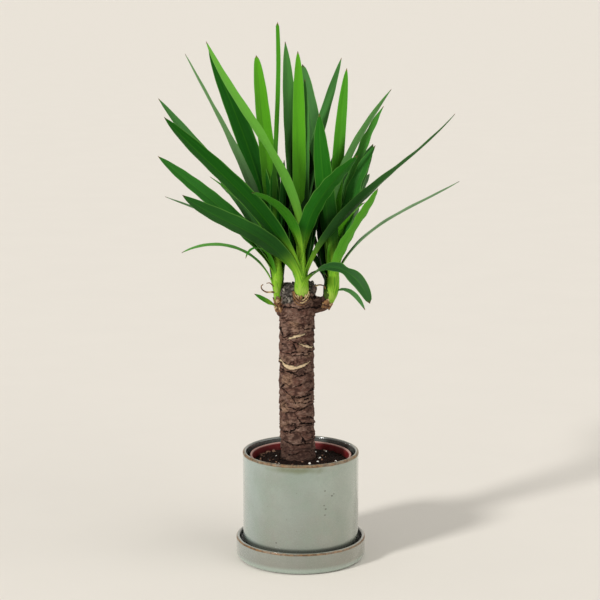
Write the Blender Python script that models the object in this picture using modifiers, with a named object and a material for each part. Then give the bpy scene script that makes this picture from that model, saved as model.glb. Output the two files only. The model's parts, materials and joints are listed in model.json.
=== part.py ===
"""Potted yucca: three leafy shoots on a short cut cane, grown in a plastic nursery pot.

The nursery pot stands in a round glazed planter with a saucer. Lengths are in metres, +Z is up,
the front faces -Y, and the origin is the middle of the saucer's flat underside.
"""
import math
import random

import bmesh
import bpy
from mathutils import Matrix, Vector

MM = 0.001
SEAT_GAP = 0.3 * MM
WELD = 0.001 * MM

# Saucer
SAUCER_RADIUS = 81 * MM
SAUCER_HEIGHT = 27.5 * MM
SAUCER_WALL = 4.6 * MM
SAUCER_FLOOR = 6.5 * MM
SAUCER_EDGE = 7 * MM
SAUCER_FILLET = 5 * MM

# Glazed planter
PLANTER_RADIUS = 72.5 * MM
PLANTER_TOP = 136.5 * MM
PLANTER_WALL = 4.4 * MM
PLANTER_FLOOR = 6.7 * MM
PLANTER_FOOT_RADIUS = 60.5 * MM
PLANTER_FOOT_RING = 6 * MM
PLANTER_FOOT_RECESS = 1.5 * MM
PLANTER_TURN_IN = 36 * MM
PLANTER_DRAIN_RADIUS = 7 * MM
PLANTER_FILLET = 8 * MM
PLANTER_DRAFT = 1 * MM

# Plastic nursery pot
NURSERY_RIM_RADIUS = 63.5 * MM
NURSERY_TOP = 131.5 * MM
NURSERY_BASE_RADIUS = 45.5 * MM
NURSERY_MOUTH_RADIUS = 60.3 * MM
NURSERY_WALL = 1.2 * MM
NURSERY_LIP = 8 * MM
NURSERY_ROUND = 1.0 * MM
NURSERY_DRAINS = 6
NURSERY_DRAIN_RADIUS = 4 * MM
NURSERY_DRAIN_CIRCLE = 30 * MM
NURSERY_DRAIN_SIDES = 10

# Potting soil
SOIL_EDGE_HEIGHT = 122 * MM
SOIL_MOUND = 6.5 * MM
SOIL_HOLE_GAP = 0.4 * MM
SOIL_SHIFT_EDGE = 42.5 * MM
SOIL_ROWS = 5

# Cane
CANE_X = -2.5 * MM
CANE_RADIUS = 20.8 * MM
CANE_FOOT = 40 * MM
CANE_TOP = 345 * MM
CANE_BOW = 3 * MM
CANE_STEPS = 24
CANE_ROW = 4.6 * MM
CANE_WAVE = 0.5 * MM
CANE_WAVE_PITCH = 195 * MM
SCAR_PITCH = 12.5 * MM
SCAR_STEP = 1.3 * MM
SCAR_WANDER_PITCH = 120 * MM
ROOM_ROUND_SHOOT = 1.6 * MM
ROOM_DEPTH = 1.4 * MM
COLLAR_STRAIGHT = 4 * MM
STEM_STRAIGHT = 3 * MM

# Sawn top of the cane: lumps of bark as x, y, spread and height in millimetres, then its cracks and
# the way that its rim is worn down.
TOP_LUMPS = ((-14, 2, 8, 3.5), (13, 3, 6, 5))
TOP_CRACK = 0.8 * MM
TOP_CRACK_PITCH_X = 13 * MM
TOP_CRACK_PITCH_Y = 17 * MM
TOP_RIM_SHRINK = 0.95
TOP_RIM_DROP = 1.5 * MM

# Leaf blades. Shares are of a blade's own length, or of its full width.
BLADE_THICKNESS = 1.0 * MM
BLADE_ROW = 31 * MM
BLADE_LEAST_ROWS = 5
BLADE_TIP = 0.9 * MM
BLADE_ROOT_WIDTH = 0.46
BLADE_WIDEST = 0.45
BLADE_TAPER = 5.5
BLADE_POINT = 0.8
BLADE_FOLD_ROOT = 0.75
BLADE_FOLD = 0.22
BLADE_FOLD_LENGTH = 0.3
ROLL_STEADY = 0.3
ROLL_CHANGE_START = 0.4
ROLL_CHANGE_LENGTH = 0.4
ROOT_OFFSET = 3 * MM

TURN_STEPS = 36
SEED = 20

# Each shoot: the middle of its foot, the way the foot faces, then the axis that its leaves grow on
# (start, lean in degrees, direction in degrees), the stem as heights up that axis with the radius at
# each, and the swelling of the cane that carries it (start, radius there, radius at the foot).
# Places and lengths are in millimetres.
SHOOTS = {
    "centre": {
        "seat": (1, -18.5, 336),
        "facing": (0, -0.12, 1),
        "axis": ((1, -17, 337), 0, 0),
        "stem": ((6, 8.2), (20, 7.6), (38, 6.4), (54, 4)),
        "collar": ((0, -10, 318), 7.5, 8.0),
    },
    "left": {
        "seat": (-25.5, -3, 317),
        "facing": (-0.5, 0, 0.85),
        "axis": ((-28, -3, 328), 1, 180),
        "stem": ((2, 5.6), (16, 6.2), (26, 7.8), (40, 6.6), (54, 4)),
        "collar": ((-17, -2, 305), 5.0, 5.4),
    },
    "right": {
        "seat": (30.5, -3, 322),
        "facing": (0.8, 0, 0.6),
        "axis": ((34, -3, 322), 9, 0),
        "stem": ((10, 8.2), (22, 9.4), (38, 7), (54, 4)),
        "collar": ((14, -1, 320), 10.5, 6.0),
    },
}

# The leaves that show, one a line. Azimuth 0 is right, 90 back, 180 left and 270 front, in degrees.
# Columns: height of the root up the stem (mm), azimuth, lean from upright at the root, half way and
# at the tip, length (mm), width (mm), roll about its own line at the middle and at the tip (degrees).
LEAVES = {
    "centre": (
        (30, 205, -12, 32, 23, 308, 15, 32, 30),
        (18, 210, 20, 46, 43, 273, 25, 40, 40),
        (12, 208, 19, 61, 51, 198, 25, 50, 50),
        (42, 238, 0, 54, 71, 150, 15, 0, 0),
        (45, 104, 10, 2, 4, 248, 14, 0, 0),
        (35, 312, -10, 40, 50, 178, 22, -25, -25),
        (14, 348, 15, 48, 39, 279, 18, -40, -5),
        (8, 318, 29, 93, 158, 133, 20, 25, 40),
        (40, 60, -5, 26, 30, 265, 18, -10, -10),
        (45, 115, 14, 9, 8, 262, 20, 0, 0),
        (48, 80, 10, 5, 3, 212, 18, -20, -20),
        (6, 200, 25, 21, 82, 72, 11, 20, 20),
        (6, 338, 10, 50, 150, 46, 8, 0, 0),
        (20, 125, 12, 10, 8, 100, 24, 0, 0),
        (24, 55, 14, 16, 18, 95, 24, 0, 0),
    ),
    "left": (
        (30, 165, 6, 26, 27, 292, 15, -30, 0),
        (36, 132, 7, 28, 34, 296, 26, -25, -25),
        (30, 160, 16, 40, 39, 264, 18, -30, -30),
        (26, 172, 21, 49, 48, 209, 24, -40, -40),
        (22, 178, 8, 59, 66, 178, 13, -5, -5),
        (4, 195, 7, 64, 114, 151, 9, -20, -20),
        (26, 185, -6, 36, 52, 155, 14, -10, -10),
        (40, 110, 13, 17, 17, 265, 21, 5, 5),
        (46, 60, -14, 5, -7, 291, 8, 0, 0),
        (42, 320, -1, -5, -2, 122, 16, -10, -10),
        (40, 60, 9, 8, -4, 131, 14, -20, -20),
        (14, 222, 15, 35, 160, 88, 9, 0, 0),
        (-8, 195, 62, 58, 50, 40, 6, -30, -30),
    ),
    "right": (
        (10, 5, 4, 56, 58, 219, 12, 5, 5),
        (16, 315, 0, 36, 30, 155, 17, -10, -10),
        (22, 340, -10, 18, 60, 120, 15, -30, -30),
        (36, 345, -18, 20, 36, 247, 14, -32, -32),
        (34, 40, 4, 21, 38, 223, 17, 8, 8),
        (30, 15, 10, 15, 33, 173, 22, 35, 35),
        (44, 60, -3, 7, 13, 245, 15, 20, 20),
        (40, 118, 8, 20, 16, 262, 24, -5, -5),
        (38, 232, 2, 11, -1, 199, 24, 20, 20),
        (2, 340, -15, 105, 151, 65, 8, 0, 0),
        (30, 85, -4, 20, 50, 170, 22, 0, 0),
        (18, 150, 15, 38, 45, 75, 16, 0, 0),
    ),
}

# Leaves on the back of each shoot, spread by rule: how many, and the azimuths that they fan between.
BACK_LEAVES = {"centre": (4, 74, 98), "left": (5, 94, 118), "right": (5, 60, 92)}
BACK_ROOT_HEIGHTS = (34, 8)
BACK_ROOT_LEAN = 14
BACK_MIDDLE_LEAN = 0.8
BACK_TIP_LEANS = (50, 95)
BACK_LENGTHS = (190, 225)
BACK_WIDTHS = (20, 24)


def remove_old_objects():
    for old in list(bpy.data.objects):
        bpy.data.objects.remove(old, do_unlink=True)


def new_collection(name):
    collection = bpy.data.collections.new(name)
    bpy.context.scene.collection.children.link(collection)
    return collection


def make_material(name, colour, roughness, metallic=0.0):
    material = bpy.data.materials.new(name)
    material.use_nodes = True
    shader = material.node_tree.nodes["Principled BSDF"]
    shader.inputs["Base Color"].default_value = (*colour, 1.0)
    shader.inputs["Roughness"].default_value = roughness
    shader.inputs["Metallic"].default_value = metallic
    material.diffuse_color = (*colour, 1.0)
    return material


def add_object(name, mesh, collection, material=None):
    thing = bpy.data.objects.new(name, mesh)
    collection.objects.link(thing)
    if material:
        mesh.materials.clear()
        mesh.materials.append(material)
    return thing


def evaluated_mesh(thing):
    bpy.context.view_layer.update()
    evaluated = thing.evaluated_get(bpy.context.evaluated_depsgraph_get())
    return bpy.data.meshes.new_from_object(evaluated)


def shade(mesh):
    mesh.shade_smooth()
    mesh.set_sharp_from_angle(angle=math.radians(40))


def arc(centre_r, centre_z, radius_r, radius_z, start, end, count):
    """Points of an elliptic arc in the profile plane, angles in degrees from +r towards +Z."""
    points = []
    for i in range(count + 1):
        angle = math.radians(start + (end - start) * i / count)
        points.append((centre_r + radius_r * math.cos(angle), centre_z + radius_z * math.sin(angle)))
    return points


def turned(name, profile, closed, collection, material, steps=TURN_STEPS):
    """A profile of (radius, height) points turned round Z by a Screw modifier."""
    mesh = bpy.data.meshes.new(name)
    last = len(profile) - 1
    edges = [(i, i + 1) for i in range(last)]
    if closed:
        edges.append((last, 0))
    mesh.from_pydata([(r, 0, z) for r, z in profile], edges, [])
    thing = add_object(name, mesh, collection, material)
    screw = thing.modifiers.new("Turn", "SCREW")
    screw.steps = steps
    screw.render_steps = steps
    screw.use_merge_vertices = True
    screw.merge_threshold = 0.00005
    screw.use_smooth_shade = True
    return thing


def cut(thing, cutters):
    """Takes a collection of cutters out of an object."""
    boolean = thing.modifiers.new("Cut", "BOOLEAN")
    boolean.operation = "DIFFERENCE"
    boolean.operand_type = "COLLECTION"
    boolean.collection = cutters
    boolean.solver = "EXACT"


def make_cutter(name, mesh, cutters):
    cutter = add_object(name, mesh, cutters)
    cutter.hide_render = True
    cutter.display_type = "WIRE"
    return cutter


def make_saucer(collection, material):
    inner = SAUCER_RADIUS - SAUCER_WALL
    lip = SAUCER_WALL / 2
    fillet = SAUCER_FILLET
    profile = [(0, SAUCER_FLOOR)]
    profile += arc(inner - fillet, SAUCER_FLOOR + fillet, fillet, fillet, -90, 0, 3)
    profile += arc(inner + lip, SAUCER_HEIGHT - lip, lip, lip, 180, 0, 6)
    profile += arc(SAUCER_RADIUS - SAUCER_EDGE, SAUCER_EDGE, SAUCER_EDGE, SAUCER_EDGE, 0, -90, 5)
    profile.append((0, 0))
    return turned("saucer", profile, False, collection, material)


def make_planter(collection, material):
    inner = PLANTER_RADIUS - PLANTER_WALL
    lip = PLANTER_WALL / 2
    underside = SAUCER_FLOOR + SEAT_GAP
    recess = underside + PLANTER_FOOT_RECESS
    floor = recess + PLANTER_FLOOR
    fillet = PLANTER_FILLET
    foot_inside = PLANTER_FOOT_RADIUS - PLANTER_FOOT_RING
    profile = [(PLANTER_DRAIN_RADIUS, floor)]
    profile += arc(inner - fillet - PLANTER_DRAFT, floor + fillet, fillet, fillet, -90, -20, 3)
    profile.append((inner, PLANTER_TURN_IN))
    profile += arc(inner + lip, PLANTER_TOP - lip, lip, lip, 180, 0, 6)
    turn_in = PLANTER_RADIUS - PLANTER_FOOT_RADIUS
    profile += arc(PLANTER_FOOT_RADIUS, PLANTER_TURN_IN, turn_in, PLANTER_TURN_IN - underside, 0, -90, 6)
    profile.append((foot_inside, underside))
    profile.append((foot_inside - PLANTER_FOOT_RECESS, recess))
    profile.append((PLANTER_DRAIN_RADIUS, recess))
    return turned("planter", profile, True, collection, material)


def planter_floor_height():
    return SAUCER_FLOOR + SEAT_GAP + PLANTER_FOOT_RECESS + PLANTER_FLOOR


def nursery_inner_radius(height):
    """Radius of the nursery pot's inside at a height above the saucer's underside."""
    floor = planter_floor_height() + SEAT_GAP + NURSERY_WALL
    low = NURSERY_BASE_RADIUS - NURSERY_WALL
    share = (height - floor) / (NURSERY_TOP - floor)
    return low + (NURSERY_MOUTH_RADIUS - low) * share


def make_nursery_pot(collection, cutters, material):
    underside = planter_floor_height() + SEAT_GAP
    floor = underside + NURSERY_WALL
    lip_low = NURSERY_TOP - NURSERY_LIP
    profile = [
        (0, floor),
        (nursery_inner_radius(floor), floor),
        (nursery_inner_radius(NURSERY_TOP - 2 * NURSERY_ROUND), NURSERY_TOP - 2 * NURSERY_ROUND),
        (NURSERY_MOUTH_RADIUS + NURSERY_ROUND, NURSERY_TOP - NURSERY_ROUND / 2),
        (NURSERY_MOUTH_RADIUS + 2 * NURSERY_ROUND, NURSERY_TOP),
        (NURSERY_RIM_RADIUS - NURSERY_ROUND, NURSERY_TOP - NURSERY_ROUND / 4),
        (NURSERY_RIM_RADIUS, NURSERY_TOP - NURSERY_ROUND),
        (NURSERY_RIM_RADIUS - NURSERY_ROUND / 4, lip_low),
        (nursery_inner_radius(lip_low) + NURSERY_WALL, lip_low - NURSERY_ROUND),
        (NURSERY_BASE_RADIUS, underside + NURSERY_ROUND),
        (NURSERY_BASE_RADIUS - NURSERY_ROUND, underside),
        (0, underside),
    ]
    pot = turned("nursery_pot", profile, False, collection, material)
    for i in range(NURSERY_DRAINS):
        angle = math.tau * i / NURSERY_DRAINS
        mesh = bpy.data.meshes.new(f"drain_cutter_{i + 1}")
        shape = bmesh.new()
        radius = NURSERY_DRAIN_RADIUS
        bmesh.ops.create_cone(
            shape,
            cap_ends=True,
            segments=NURSERY_DRAIN_SIDES,
            radius1=radius,
            radius2=radius,
            depth=4 * NURSERY_WALL,
        )
        shape.to_mesh(mesh)
        shape.free()
        cutter = make_cutter(f"drain_cutter_{i + 1}", mesh, cutters)
        cutter.location = (
            NURSERY_DRAIN_CIRCLE * math.cos(angle),
            NURSERY_DRAIN_CIRCLE * math.sin(angle),
            underside,
        )
    cut(pot, cutters)
    return pot


def soil_height(radius):
    """Height of the soil's top, which is heaped up towards the cane."""
    edge = nursery_inner_radius(SOIL_EDGE_HEIGHT)
    share = min(radius / edge, 1.0)
    return SOIL_EDGE_HEIGHT + SOIL_MOUND * math.cos(share * math.pi / 2)


def make_soil(collection, material):
    """Soil filling the nursery pot, with a plain hole that the cane's foot stands in."""
    floor = planter_floor_height() + 2 * SEAT_GAP + NURSERY_WALL
    hole = CANE_RADIUS + SOIL_HOLE_GAP
    edge = nursery_inner_radius(SOIL_EDGE_HEIGHT) - SEAT_GAP
    profile = [(0, CANE_FOOT - SEAT_GAP), (hole, CANE_FOOT - SEAT_GAP)]
    for i in range(SOIL_ROWS + 1):
        radius = hole + (edge - hole) * i / SOIL_ROWS
        profile.append((radius, soil_height(radius)))
    profile += [(nursery_inner_radius(floor) - SEAT_GAP, floor), (0, floor)]
    soil = turned("soil", profile, False, collection, material)
    mesh = evaluated_mesh(soil)
    soil.modifiers.clear()
    soil.data = mesh
    for vertex in mesh.vertices:
        vertex.co.x += CANE_X * cane_hole_share(vertex.co)
    shade(mesh)
    return soil


def cane_hole_share(place):
    """1 at the cane's hole, falling to 0 at the nursery pot's wall, to set the hole off centre."""
    radius = math.hypot(place.x, place.y)
    hole = CANE_RADIUS + SOIL_HOLE_GAP
    share = (SOIL_SHIFT_EDGE - radius) / (SOIL_SHIFT_EDGE - hole)
    return min(max(share, 0.0), 1.0)


def scar_relief(angle, height, waves):
    """How far the bark stands out: overlapping leaf scars, each a ledge that thins upwards."""
    wander = 0.0
    for count, size, phase in waves:
        wander += size * math.sin(count * angle + phase + math.tau * height / SCAR_WANDER_PITCH)
    phase = (height / SCAR_PITCH + wander) % 1.0
    wave = CANE_WAVE * math.sin(3 * angle + math.tau * height / CANE_WAVE_PITCH)
    return SCAR_STEP * (1 - phase) + wave


def cut_top_height(x, y):
    """Height of the cane's sawn and cracked top: two lumps of bark stand up beside a worn middle."""
    height = CANE_TOP
    for lump_x, lump_y, spread, rise in TOP_LUMPS:
        away = math.hypot(x / MM - lump_x, y / MM - lump_y)
        height += rise * MM * math.exp(-((away / spread) ** 2))
    cracks = math.sin(math.tau * x / TOP_CRACK_PITCH_X + 1) * math.sin(math.tau * y / TOP_CRACK_PITCH_Y)
    return height + TOP_CRACK * cracks


def make_cane_body(name, rng):
    """The cane as a round bar whose rows are pushed out into leaf scars above the soil."""
    bark_low = SOIL_EDGE_HEIGHT + SOIL_MOUND
    rows = round((CANE_TOP - bark_low) / CANE_ROW)
    heights = [CANE_FOOT, bark_low] + [bark_low + (CANE_TOP - bark_low) * (i + 1) / rows for i in range(rows)]
    profile = [(0, CANE_TOP), (CANE_RADIUS / 3, CANE_TOP), (CANE_RADIUS * 2 / 3, CANE_TOP)]
    profile += [(CANE_RADIUS, height) for height in reversed(heights)] + [(0, CANE_FOOT)]
    bar = turned(name, profile, False, bpy.context.scene.collection, None, steps=CANE_STEPS)
    mesh = evaluated_mesh(bar)
    bpy.data.objects.remove(bar)
    waves = [(1, 0.30, rng.uniform(0, math.tau)), (2, 0.18, rng.uniform(0, math.tau)),
             (5, 0.12, rng.uniform(0, math.tau))]
    for vertex in mesh.vertices:
        place = vertex.co
        radius = math.hypot(place.x, place.y)
        angle = math.atan2(place.y, place.x)
        if place.z > CANE_TOP - WELD:
            place.z = cut_top_height(place.x, place.y)
            if radius > CANE_RADIUS - WELD:
                place.x *= TOP_RIM_SHRINK
                place.y *= TOP_RIM_SHRINK
                place.z -= TOP_RIM_DROP
        elif place.z > bark_low + WELD:
            grown = radius + scar_relief(angle, place.z, waves)
            place.x *= grown / radius
            place.y *= grown / radius
            place.x -= CANE_BOW * math.sin(math.pi * (place.z - bark_low) / (CANE_TOP - bark_low))
    mesh.transform(Matrix.Translation((CANE_X, 0, 0)))
    return mesh


def tube_mesh(name, route, radii, sides=3):
    """A round tube along a route, closed at both ends, as a mesh."""
    data = bpy.data.curves.new(name, "CURVE")
    data.dimensions = "3D"
    data.bevel_depth = 1.0
    data.bevel_resolution = sides
    data.use_fill_caps = True
    spline = data.splines.new("POLY")
    spline.points.add(len(route) - 1)
    for point, place, radius in zip(spline.points, route, radii):
        point.co = (*place, 1.0)
        point.radius = radius
    guide = bpy.data.objects.new(name, data)
    bpy.context.scene.collection.objects.link(guide)
    mesh = evaluated_mesh(guide)
    bpy.data.objects.remove(guide)
    shape = bmesh.new()
    shape.from_mesh(mesh)
    bmesh.ops.remove_doubles(shape, verts=shape.verts, dist=WELD)
    bmesh.ops.recalc_face_normals(shape, faces=shape.faces)
    shape.to_mesh(mesh)
    shape.free()
    return mesh


def lean_vector(lean, azimuth):
    """Unit vector that leans from +Z by lean, towards azimuth, both in degrees."""
    lean = math.radians(lean)
    azimuth = math.radians(azimuth)
    flat = math.sin(lean)
    return Vector((flat * math.cos(azimuth), flat * math.sin(azimuth), math.cos(lean)))


def shoot_axis_point(shoot, height):
    """Point on the line that a shoot's leaves grow from, height metres up."""
    start, lean, azimuth = shoot["axis"]
    return Vector(start) * MM + lean_vector(lean, azimuth) * height


def collar_mesh(name, shoot):
    """The swelling or stub of cane that carries a shoot, ending in the shoot's flat seat."""
    seat = Vector(shoot["seat"]) * MM
    facing = Vector(shoot["facing"]).normalized()
    start, start_radius, end_radius = shoot["collar"]
    route = [Vector(start) * MM, seat - facing * COLLAR_STRAIGHT, seat - facing * SEAT_GAP / 2]
    return tube_mesh(name, route, [start_radius * MM, end_radius * MM, end_radius * MM])


def stem_mesh(name, shoot):
    """The shoot's own stem, from its flat foot to its growing tip."""
    route, radii = stem_route(shoot, SEAT_GAP / 2)
    return tube_mesh(name, route, radii)


def stem_route(shoot, start):
    """Middle line and radii of a shoot's stem, begun start metres off the flat that it stands on."""
    seat = Vector(shoot["seat"]) * MM
    facing = Vector(shoot["facing"]).normalized()
    foot_radius = shoot["collar"][2] * MM
    route = [seat + facing * start, seat + facing * STEM_STRAIGHT]
    radii = [foot_radius, foot_radius]
    for height, radius in shoot["stem"]:
        route.append(shoot_axis_point(shoot, height * MM))
        radii.append(radius * MM)
    return route, radii


def join_all(base, others, name):
    """One Boolean union of a base object and a collection, applied, with the collection emptied."""
    union = base.modifiers.new("Join", "BOOLEAN")
    union.operation = "UNION"
    union.operand_type = "COLLECTION"
    union.collection = others
    union.solver = "EXACT"
    mesh = evaluated_mesh(base)
    mesh.name = name
    base.modifiers.clear()
    base.data = mesh
    for piece in list(others.objects):
        bpy.data.objects.remove(piece)
    bpy.data.collections.remove(others)
    keep_outer_body(mesh)
    shade(mesh)


def signed_volume(faces):
    total = 0.0
    for face in faces:
        first = face.verts[0].co
        for one, two in zip(face.verts[1:], face.verts[2:]):
            total += first.dot(one.co.cross(two.co))
    return total / 6


def keep_outer_body(mesh):
    """Drops loose scraps, and sealed hollows that the union left, keeping the one outer surface."""
    shape = bmesh.new()
    shape.from_mesh(mesh)
    bmesh.ops.remove_doubles(shape, verts=shape.verts, dist=WELD)
    bmesh.ops.dissolve_degenerate(shape, edges=shape.edges, dist=2 * WELD)
    left = set(shape.faces)
    bodies = []
    while left:
        body = {left.pop()}
        edge_of_body = list(body)
        while edge_of_body:
            face = edge_of_body.pop()
            for edge in face.edges:
                for other in edge.link_faces:
                    if other in left:
                        left.remove(other)
                        body.add(other)
                        edge_of_body.append(other)
        bodies.append(body)
    bodies.sort(key=signed_volume)
    scraps = [face for body in bodies[:-1] for face in body]
    bmesh.ops.delete(shape, geom=scraps, context="FACES")
    bmesh.ops.triangulate(shape, faces=shape.faces)
    shape.to_mesh(mesh)
    shape.free()


def blade_width(share):
    """Width of a blade along its length, as a part of its full width."""
    widening = math.sin(math.pi / 2 * min(share / BLADE_WIDEST, 1.0))
    full = BLADE_ROOT_WIDTH + (1 - BLADE_ROOT_WIDTH) * widening
    return full * (1 - share ** BLADE_TAPER) ** BLADE_POINT


def blade_fold(share):
    """Depth of the channel down a blade, as a part of its half width."""
    left = 1 - min(share / BLADE_FOLD_LENGTH, 1.0)
    return BLADE_FOLD + (BLADE_FOLD_ROOT - BLADE_FOLD) * left ** 2


def lean_at(share, leans):
    """Lean of a leaf at a share of its length: a smooth curve through its root, middle and tip values."""
    root, middle, tip = leans
    return (
        root * (2 * share - 1) * (share - 1)
        + middle * 4 * share * (1 - share)
        + tip * share * (2 * share - 1)
    )


def ease(share):
    """0 up to 0, 1 from 1 on, and a smooth step between them."""
    share = min(max(share, 0.0), 1.0)
    return share * share * (3 - 2 * share)


def blade_mesh(name, root, leaf):
    """An open strip for one leaf, three points wide, folded along its midrib."""
    _, azimuth, *leans, length, width, roll, tip_roll = leaf
    length *= MM
    rows = max(BLADE_LEAST_ROWS, round(length / BLADE_ROW))
    shape = bmesh.new()
    bmesh.ops.create_grid(shape, x_segments=2, y_segments=rows, size=1.0)
    across = Matrix.Rotation(math.radians(azimuth), 3, "Z") @ Vector((0, 1, 0))
    centres = [root]
    fine = 8
    for i in range(rows * fine):
        lean = lean_at((i + 0.5) / (rows * fine), leans)
        centres.append(centres[-1] + lean_vector(lean, azimuth) * length / (rows * fine))
    for vertex in shape.verts:
        row = round((vertex.co.y + 1) / 2 * rows)
        share = row / rows
        side = round(vertex.co.x)
        along = lean_vector(lean_at(share, leans), azimuth)
        rolled = roll * min(share / ROLL_STEADY, 1.0)
        rolled += (tip_roll - roll) * ease((share - ROLL_CHANGE_START) / ROLL_CHANGE_LENGTH)
        turn = Matrix.Rotation(math.radians(rolled), 3, along)
        sideways = turn @ across
        inward = along.cross(sideways)
        half = max(width * MM * blade_width(share), BLADE_TIP) / 2
        fold = half * blade_fold(share) * abs(side)
        vertex.co = centres[row * fine] + sideways * half * side + inward * fold
    bmesh.ops.triangulate(shape, faces=shape.faces)
    mesh = bpy.data.meshes.new(name)
    shape.to_mesh(mesh)
    shape.free()
    return mesh


def back_leaves(name, rng):
    """Leaves on the side that the others hide, fanned evenly and leaning out lower one by one."""
    count, low, high = BACK_LEAVES[name]
    leaves = []
    for i in range(count):
        azimuth = low + (high - low) * (i + 0.5) / count + rng.uniform(-5, 5)
        lower = (i * 2 % count) / count
        height = BACK_ROOT_HEIGHTS[0] + (BACK_ROOT_HEIGHTS[1] - BACK_ROOT_HEIGHTS[0]) * lower
        tip_lean = BACK_TIP_LEANS[0] + (BACK_TIP_LEANS[1] - BACK_TIP_LEANS[0]) * lower + rng.uniform(-4, 4)
        middle_lean = tip_lean * BACK_MIDDLE_LEAN
        length = rng.uniform(*BACK_LENGTHS)
        width = rng.uniform(*BACK_WIDTHS)
        tip_roll = rng.uniform(-8, 8)
        leaves.append((height, azimuth, BACK_ROOT_LEAN, middle_lean, tip_lean, length, width, 0, tip_roll))
    return leaves


def make_shoot(name, collection, material, rng):
    """A shoot: its stem, with every blade's root sunk in it, as one body."""
    shoot = SHOOTS[name]
    node = f"shoot_{name}"
    stem = add_object(node, stem_mesh(node, shoot), collection, material)
    blades = new_collection(f"{node}_blades")
    for i, leaf in enumerate(list(LEAVES[name]) + back_leaves(name, rng)):
        outward = lean_vector(90, leaf[1])
        root = shoot_axis_point(shoot, leaf[0] * MM) + outward * ROOT_OFFSET
        blade = add_object(f"{node}_blade_{i + 1}", blade_mesh(f"{node}_blade_{i + 1}", root, leaf), blades)
        solidify = blade.modifiers.new("Thickness", "SOLIDIFY")
        solidify.thickness = BLADE_THICKNESS
        solidify.offset = 0.0
    join_all(stem, blades, node)
    stem.data.materials.clear()
    stem.data.materials.append(material)
    return stem


def make_cane(collection, cutters, material, rng):
    """The cane with the collars that carry its shoots, and room in it round each shoot's foot."""
    cane = add_object("cane", make_cane_body("cane", rng), collection, material)
    for name, shoot in SHOOTS.items():
        route, radii = stem_route(shoot, -ROOM_DEPTH)
        radii = [radius + ROOM_ROUND_SHOOT for radius in radii]
        make_cutter(f"room_cutter_{name}", tube_mesh(f"room_cutter_{name}", route, radii), cutters)
    cane.data = cut_and_read(cane, cutters)
    collars = new_collection("collars")
    for name, shoot in SHOOTS.items():
        add_object(f"collar_{name}", collar_mesh(f"collar_{name}", shoot), collars)
    join_all(cane, collars, "cane")
    cane.data.materials.clear()
    cane.data.materials.append(material)
    return cane


def cut_and_read(thing, cutters):
    """Takes the cutters out of an object and gives back the mesh that is left."""
    cut(thing, cutters)
    mesh = evaluated_mesh(thing)
    thing.modifiers.clear()
    return mesh


def main():
    remove_old_objects()
    rng = random.Random(SEED)
    parts = new_collection("potted_yucca")
    drain_cutters = new_collection("drain_cutters")
    cane_cutters = new_collection("cane_cutters")
    glaze = make_material("celadon_glaze", (0.32, 0.37, 0.30), 0.25)
    saucer_glaze = make_material("saucer_glaze", (0.27, 0.28, 0.21), 0.28)
    terracotta = make_material("terracotta_plastic", (0.36, 0.11, 0.07), 0.45)
    soil_colour = make_material("potting_soil", (0.012, 0.010, 0.008), 0.95)
    bark = make_material("bark", (0.13, 0.085, 0.065), 0.85)
    leaf = make_material("leaf", (0.05, 0.16, 0.035), 0.38)
    make_saucer(parts, saucer_glaze)
    make_planter(parts, glaze)
    make_nursery_pot(parts, drain_cutters, terracotta)
    make_soil(parts, soil_colour)
    make_cane(parts, cane_cutters, bark, rng)
    for name in SHOOTS:
        make_shoot(name, parts, leaf, rng)


main()
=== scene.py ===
"""Looks of the potted yucca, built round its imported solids. Lengths are in metres, +Z is up."""

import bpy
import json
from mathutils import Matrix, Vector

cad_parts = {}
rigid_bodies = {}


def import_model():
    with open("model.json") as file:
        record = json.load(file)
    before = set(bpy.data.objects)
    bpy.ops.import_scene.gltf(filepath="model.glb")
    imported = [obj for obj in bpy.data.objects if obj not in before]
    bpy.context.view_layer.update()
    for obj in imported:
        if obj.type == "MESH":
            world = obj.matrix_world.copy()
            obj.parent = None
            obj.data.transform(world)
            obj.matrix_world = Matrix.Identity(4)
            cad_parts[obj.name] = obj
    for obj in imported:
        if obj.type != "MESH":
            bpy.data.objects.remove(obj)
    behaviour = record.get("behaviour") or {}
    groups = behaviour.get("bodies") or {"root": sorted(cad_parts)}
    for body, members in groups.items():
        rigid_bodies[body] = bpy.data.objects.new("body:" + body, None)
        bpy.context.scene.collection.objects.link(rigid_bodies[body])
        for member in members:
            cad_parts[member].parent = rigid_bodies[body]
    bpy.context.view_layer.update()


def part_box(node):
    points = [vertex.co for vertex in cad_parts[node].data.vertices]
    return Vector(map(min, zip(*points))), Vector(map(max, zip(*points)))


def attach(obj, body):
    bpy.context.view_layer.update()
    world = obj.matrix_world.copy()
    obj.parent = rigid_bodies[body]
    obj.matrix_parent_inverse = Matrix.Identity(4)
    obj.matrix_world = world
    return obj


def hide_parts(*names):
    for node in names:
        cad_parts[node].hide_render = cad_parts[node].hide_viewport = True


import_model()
PLANTER_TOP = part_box("planter")[1].z
SAUCER_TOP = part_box("saucer")[1].z
NURSERY_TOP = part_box("nursery_pot")[1].z
NURSERY_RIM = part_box("nursery_pot")[1].x

import json
import math
import random

import bmesh
import bpy
import numpy as np
from bpy.props import FloatProperty, FloatVectorProperty, IntProperty, PointerProperty
from mathutils import Matrix, Vector, noise

bl_info = {
    "name": "Potted Yucca",
    "version": (1, 0, 0),
    "blender": (4, 5, 0),
    "location": "3D View > Sidebar > Yucca",
    "description": "Builds a yucca cane with its leafy shoots in a glazed planter",
    "category": "Object",
}

MM = 0.001
TAU = math.tau
BODY = "root"
SEED = 20
GOLDEN_ANGLE = 2.39996
ORIGIN = (0.0, 0.0, 0.0)
WELD = 0.02 * MM

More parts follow.
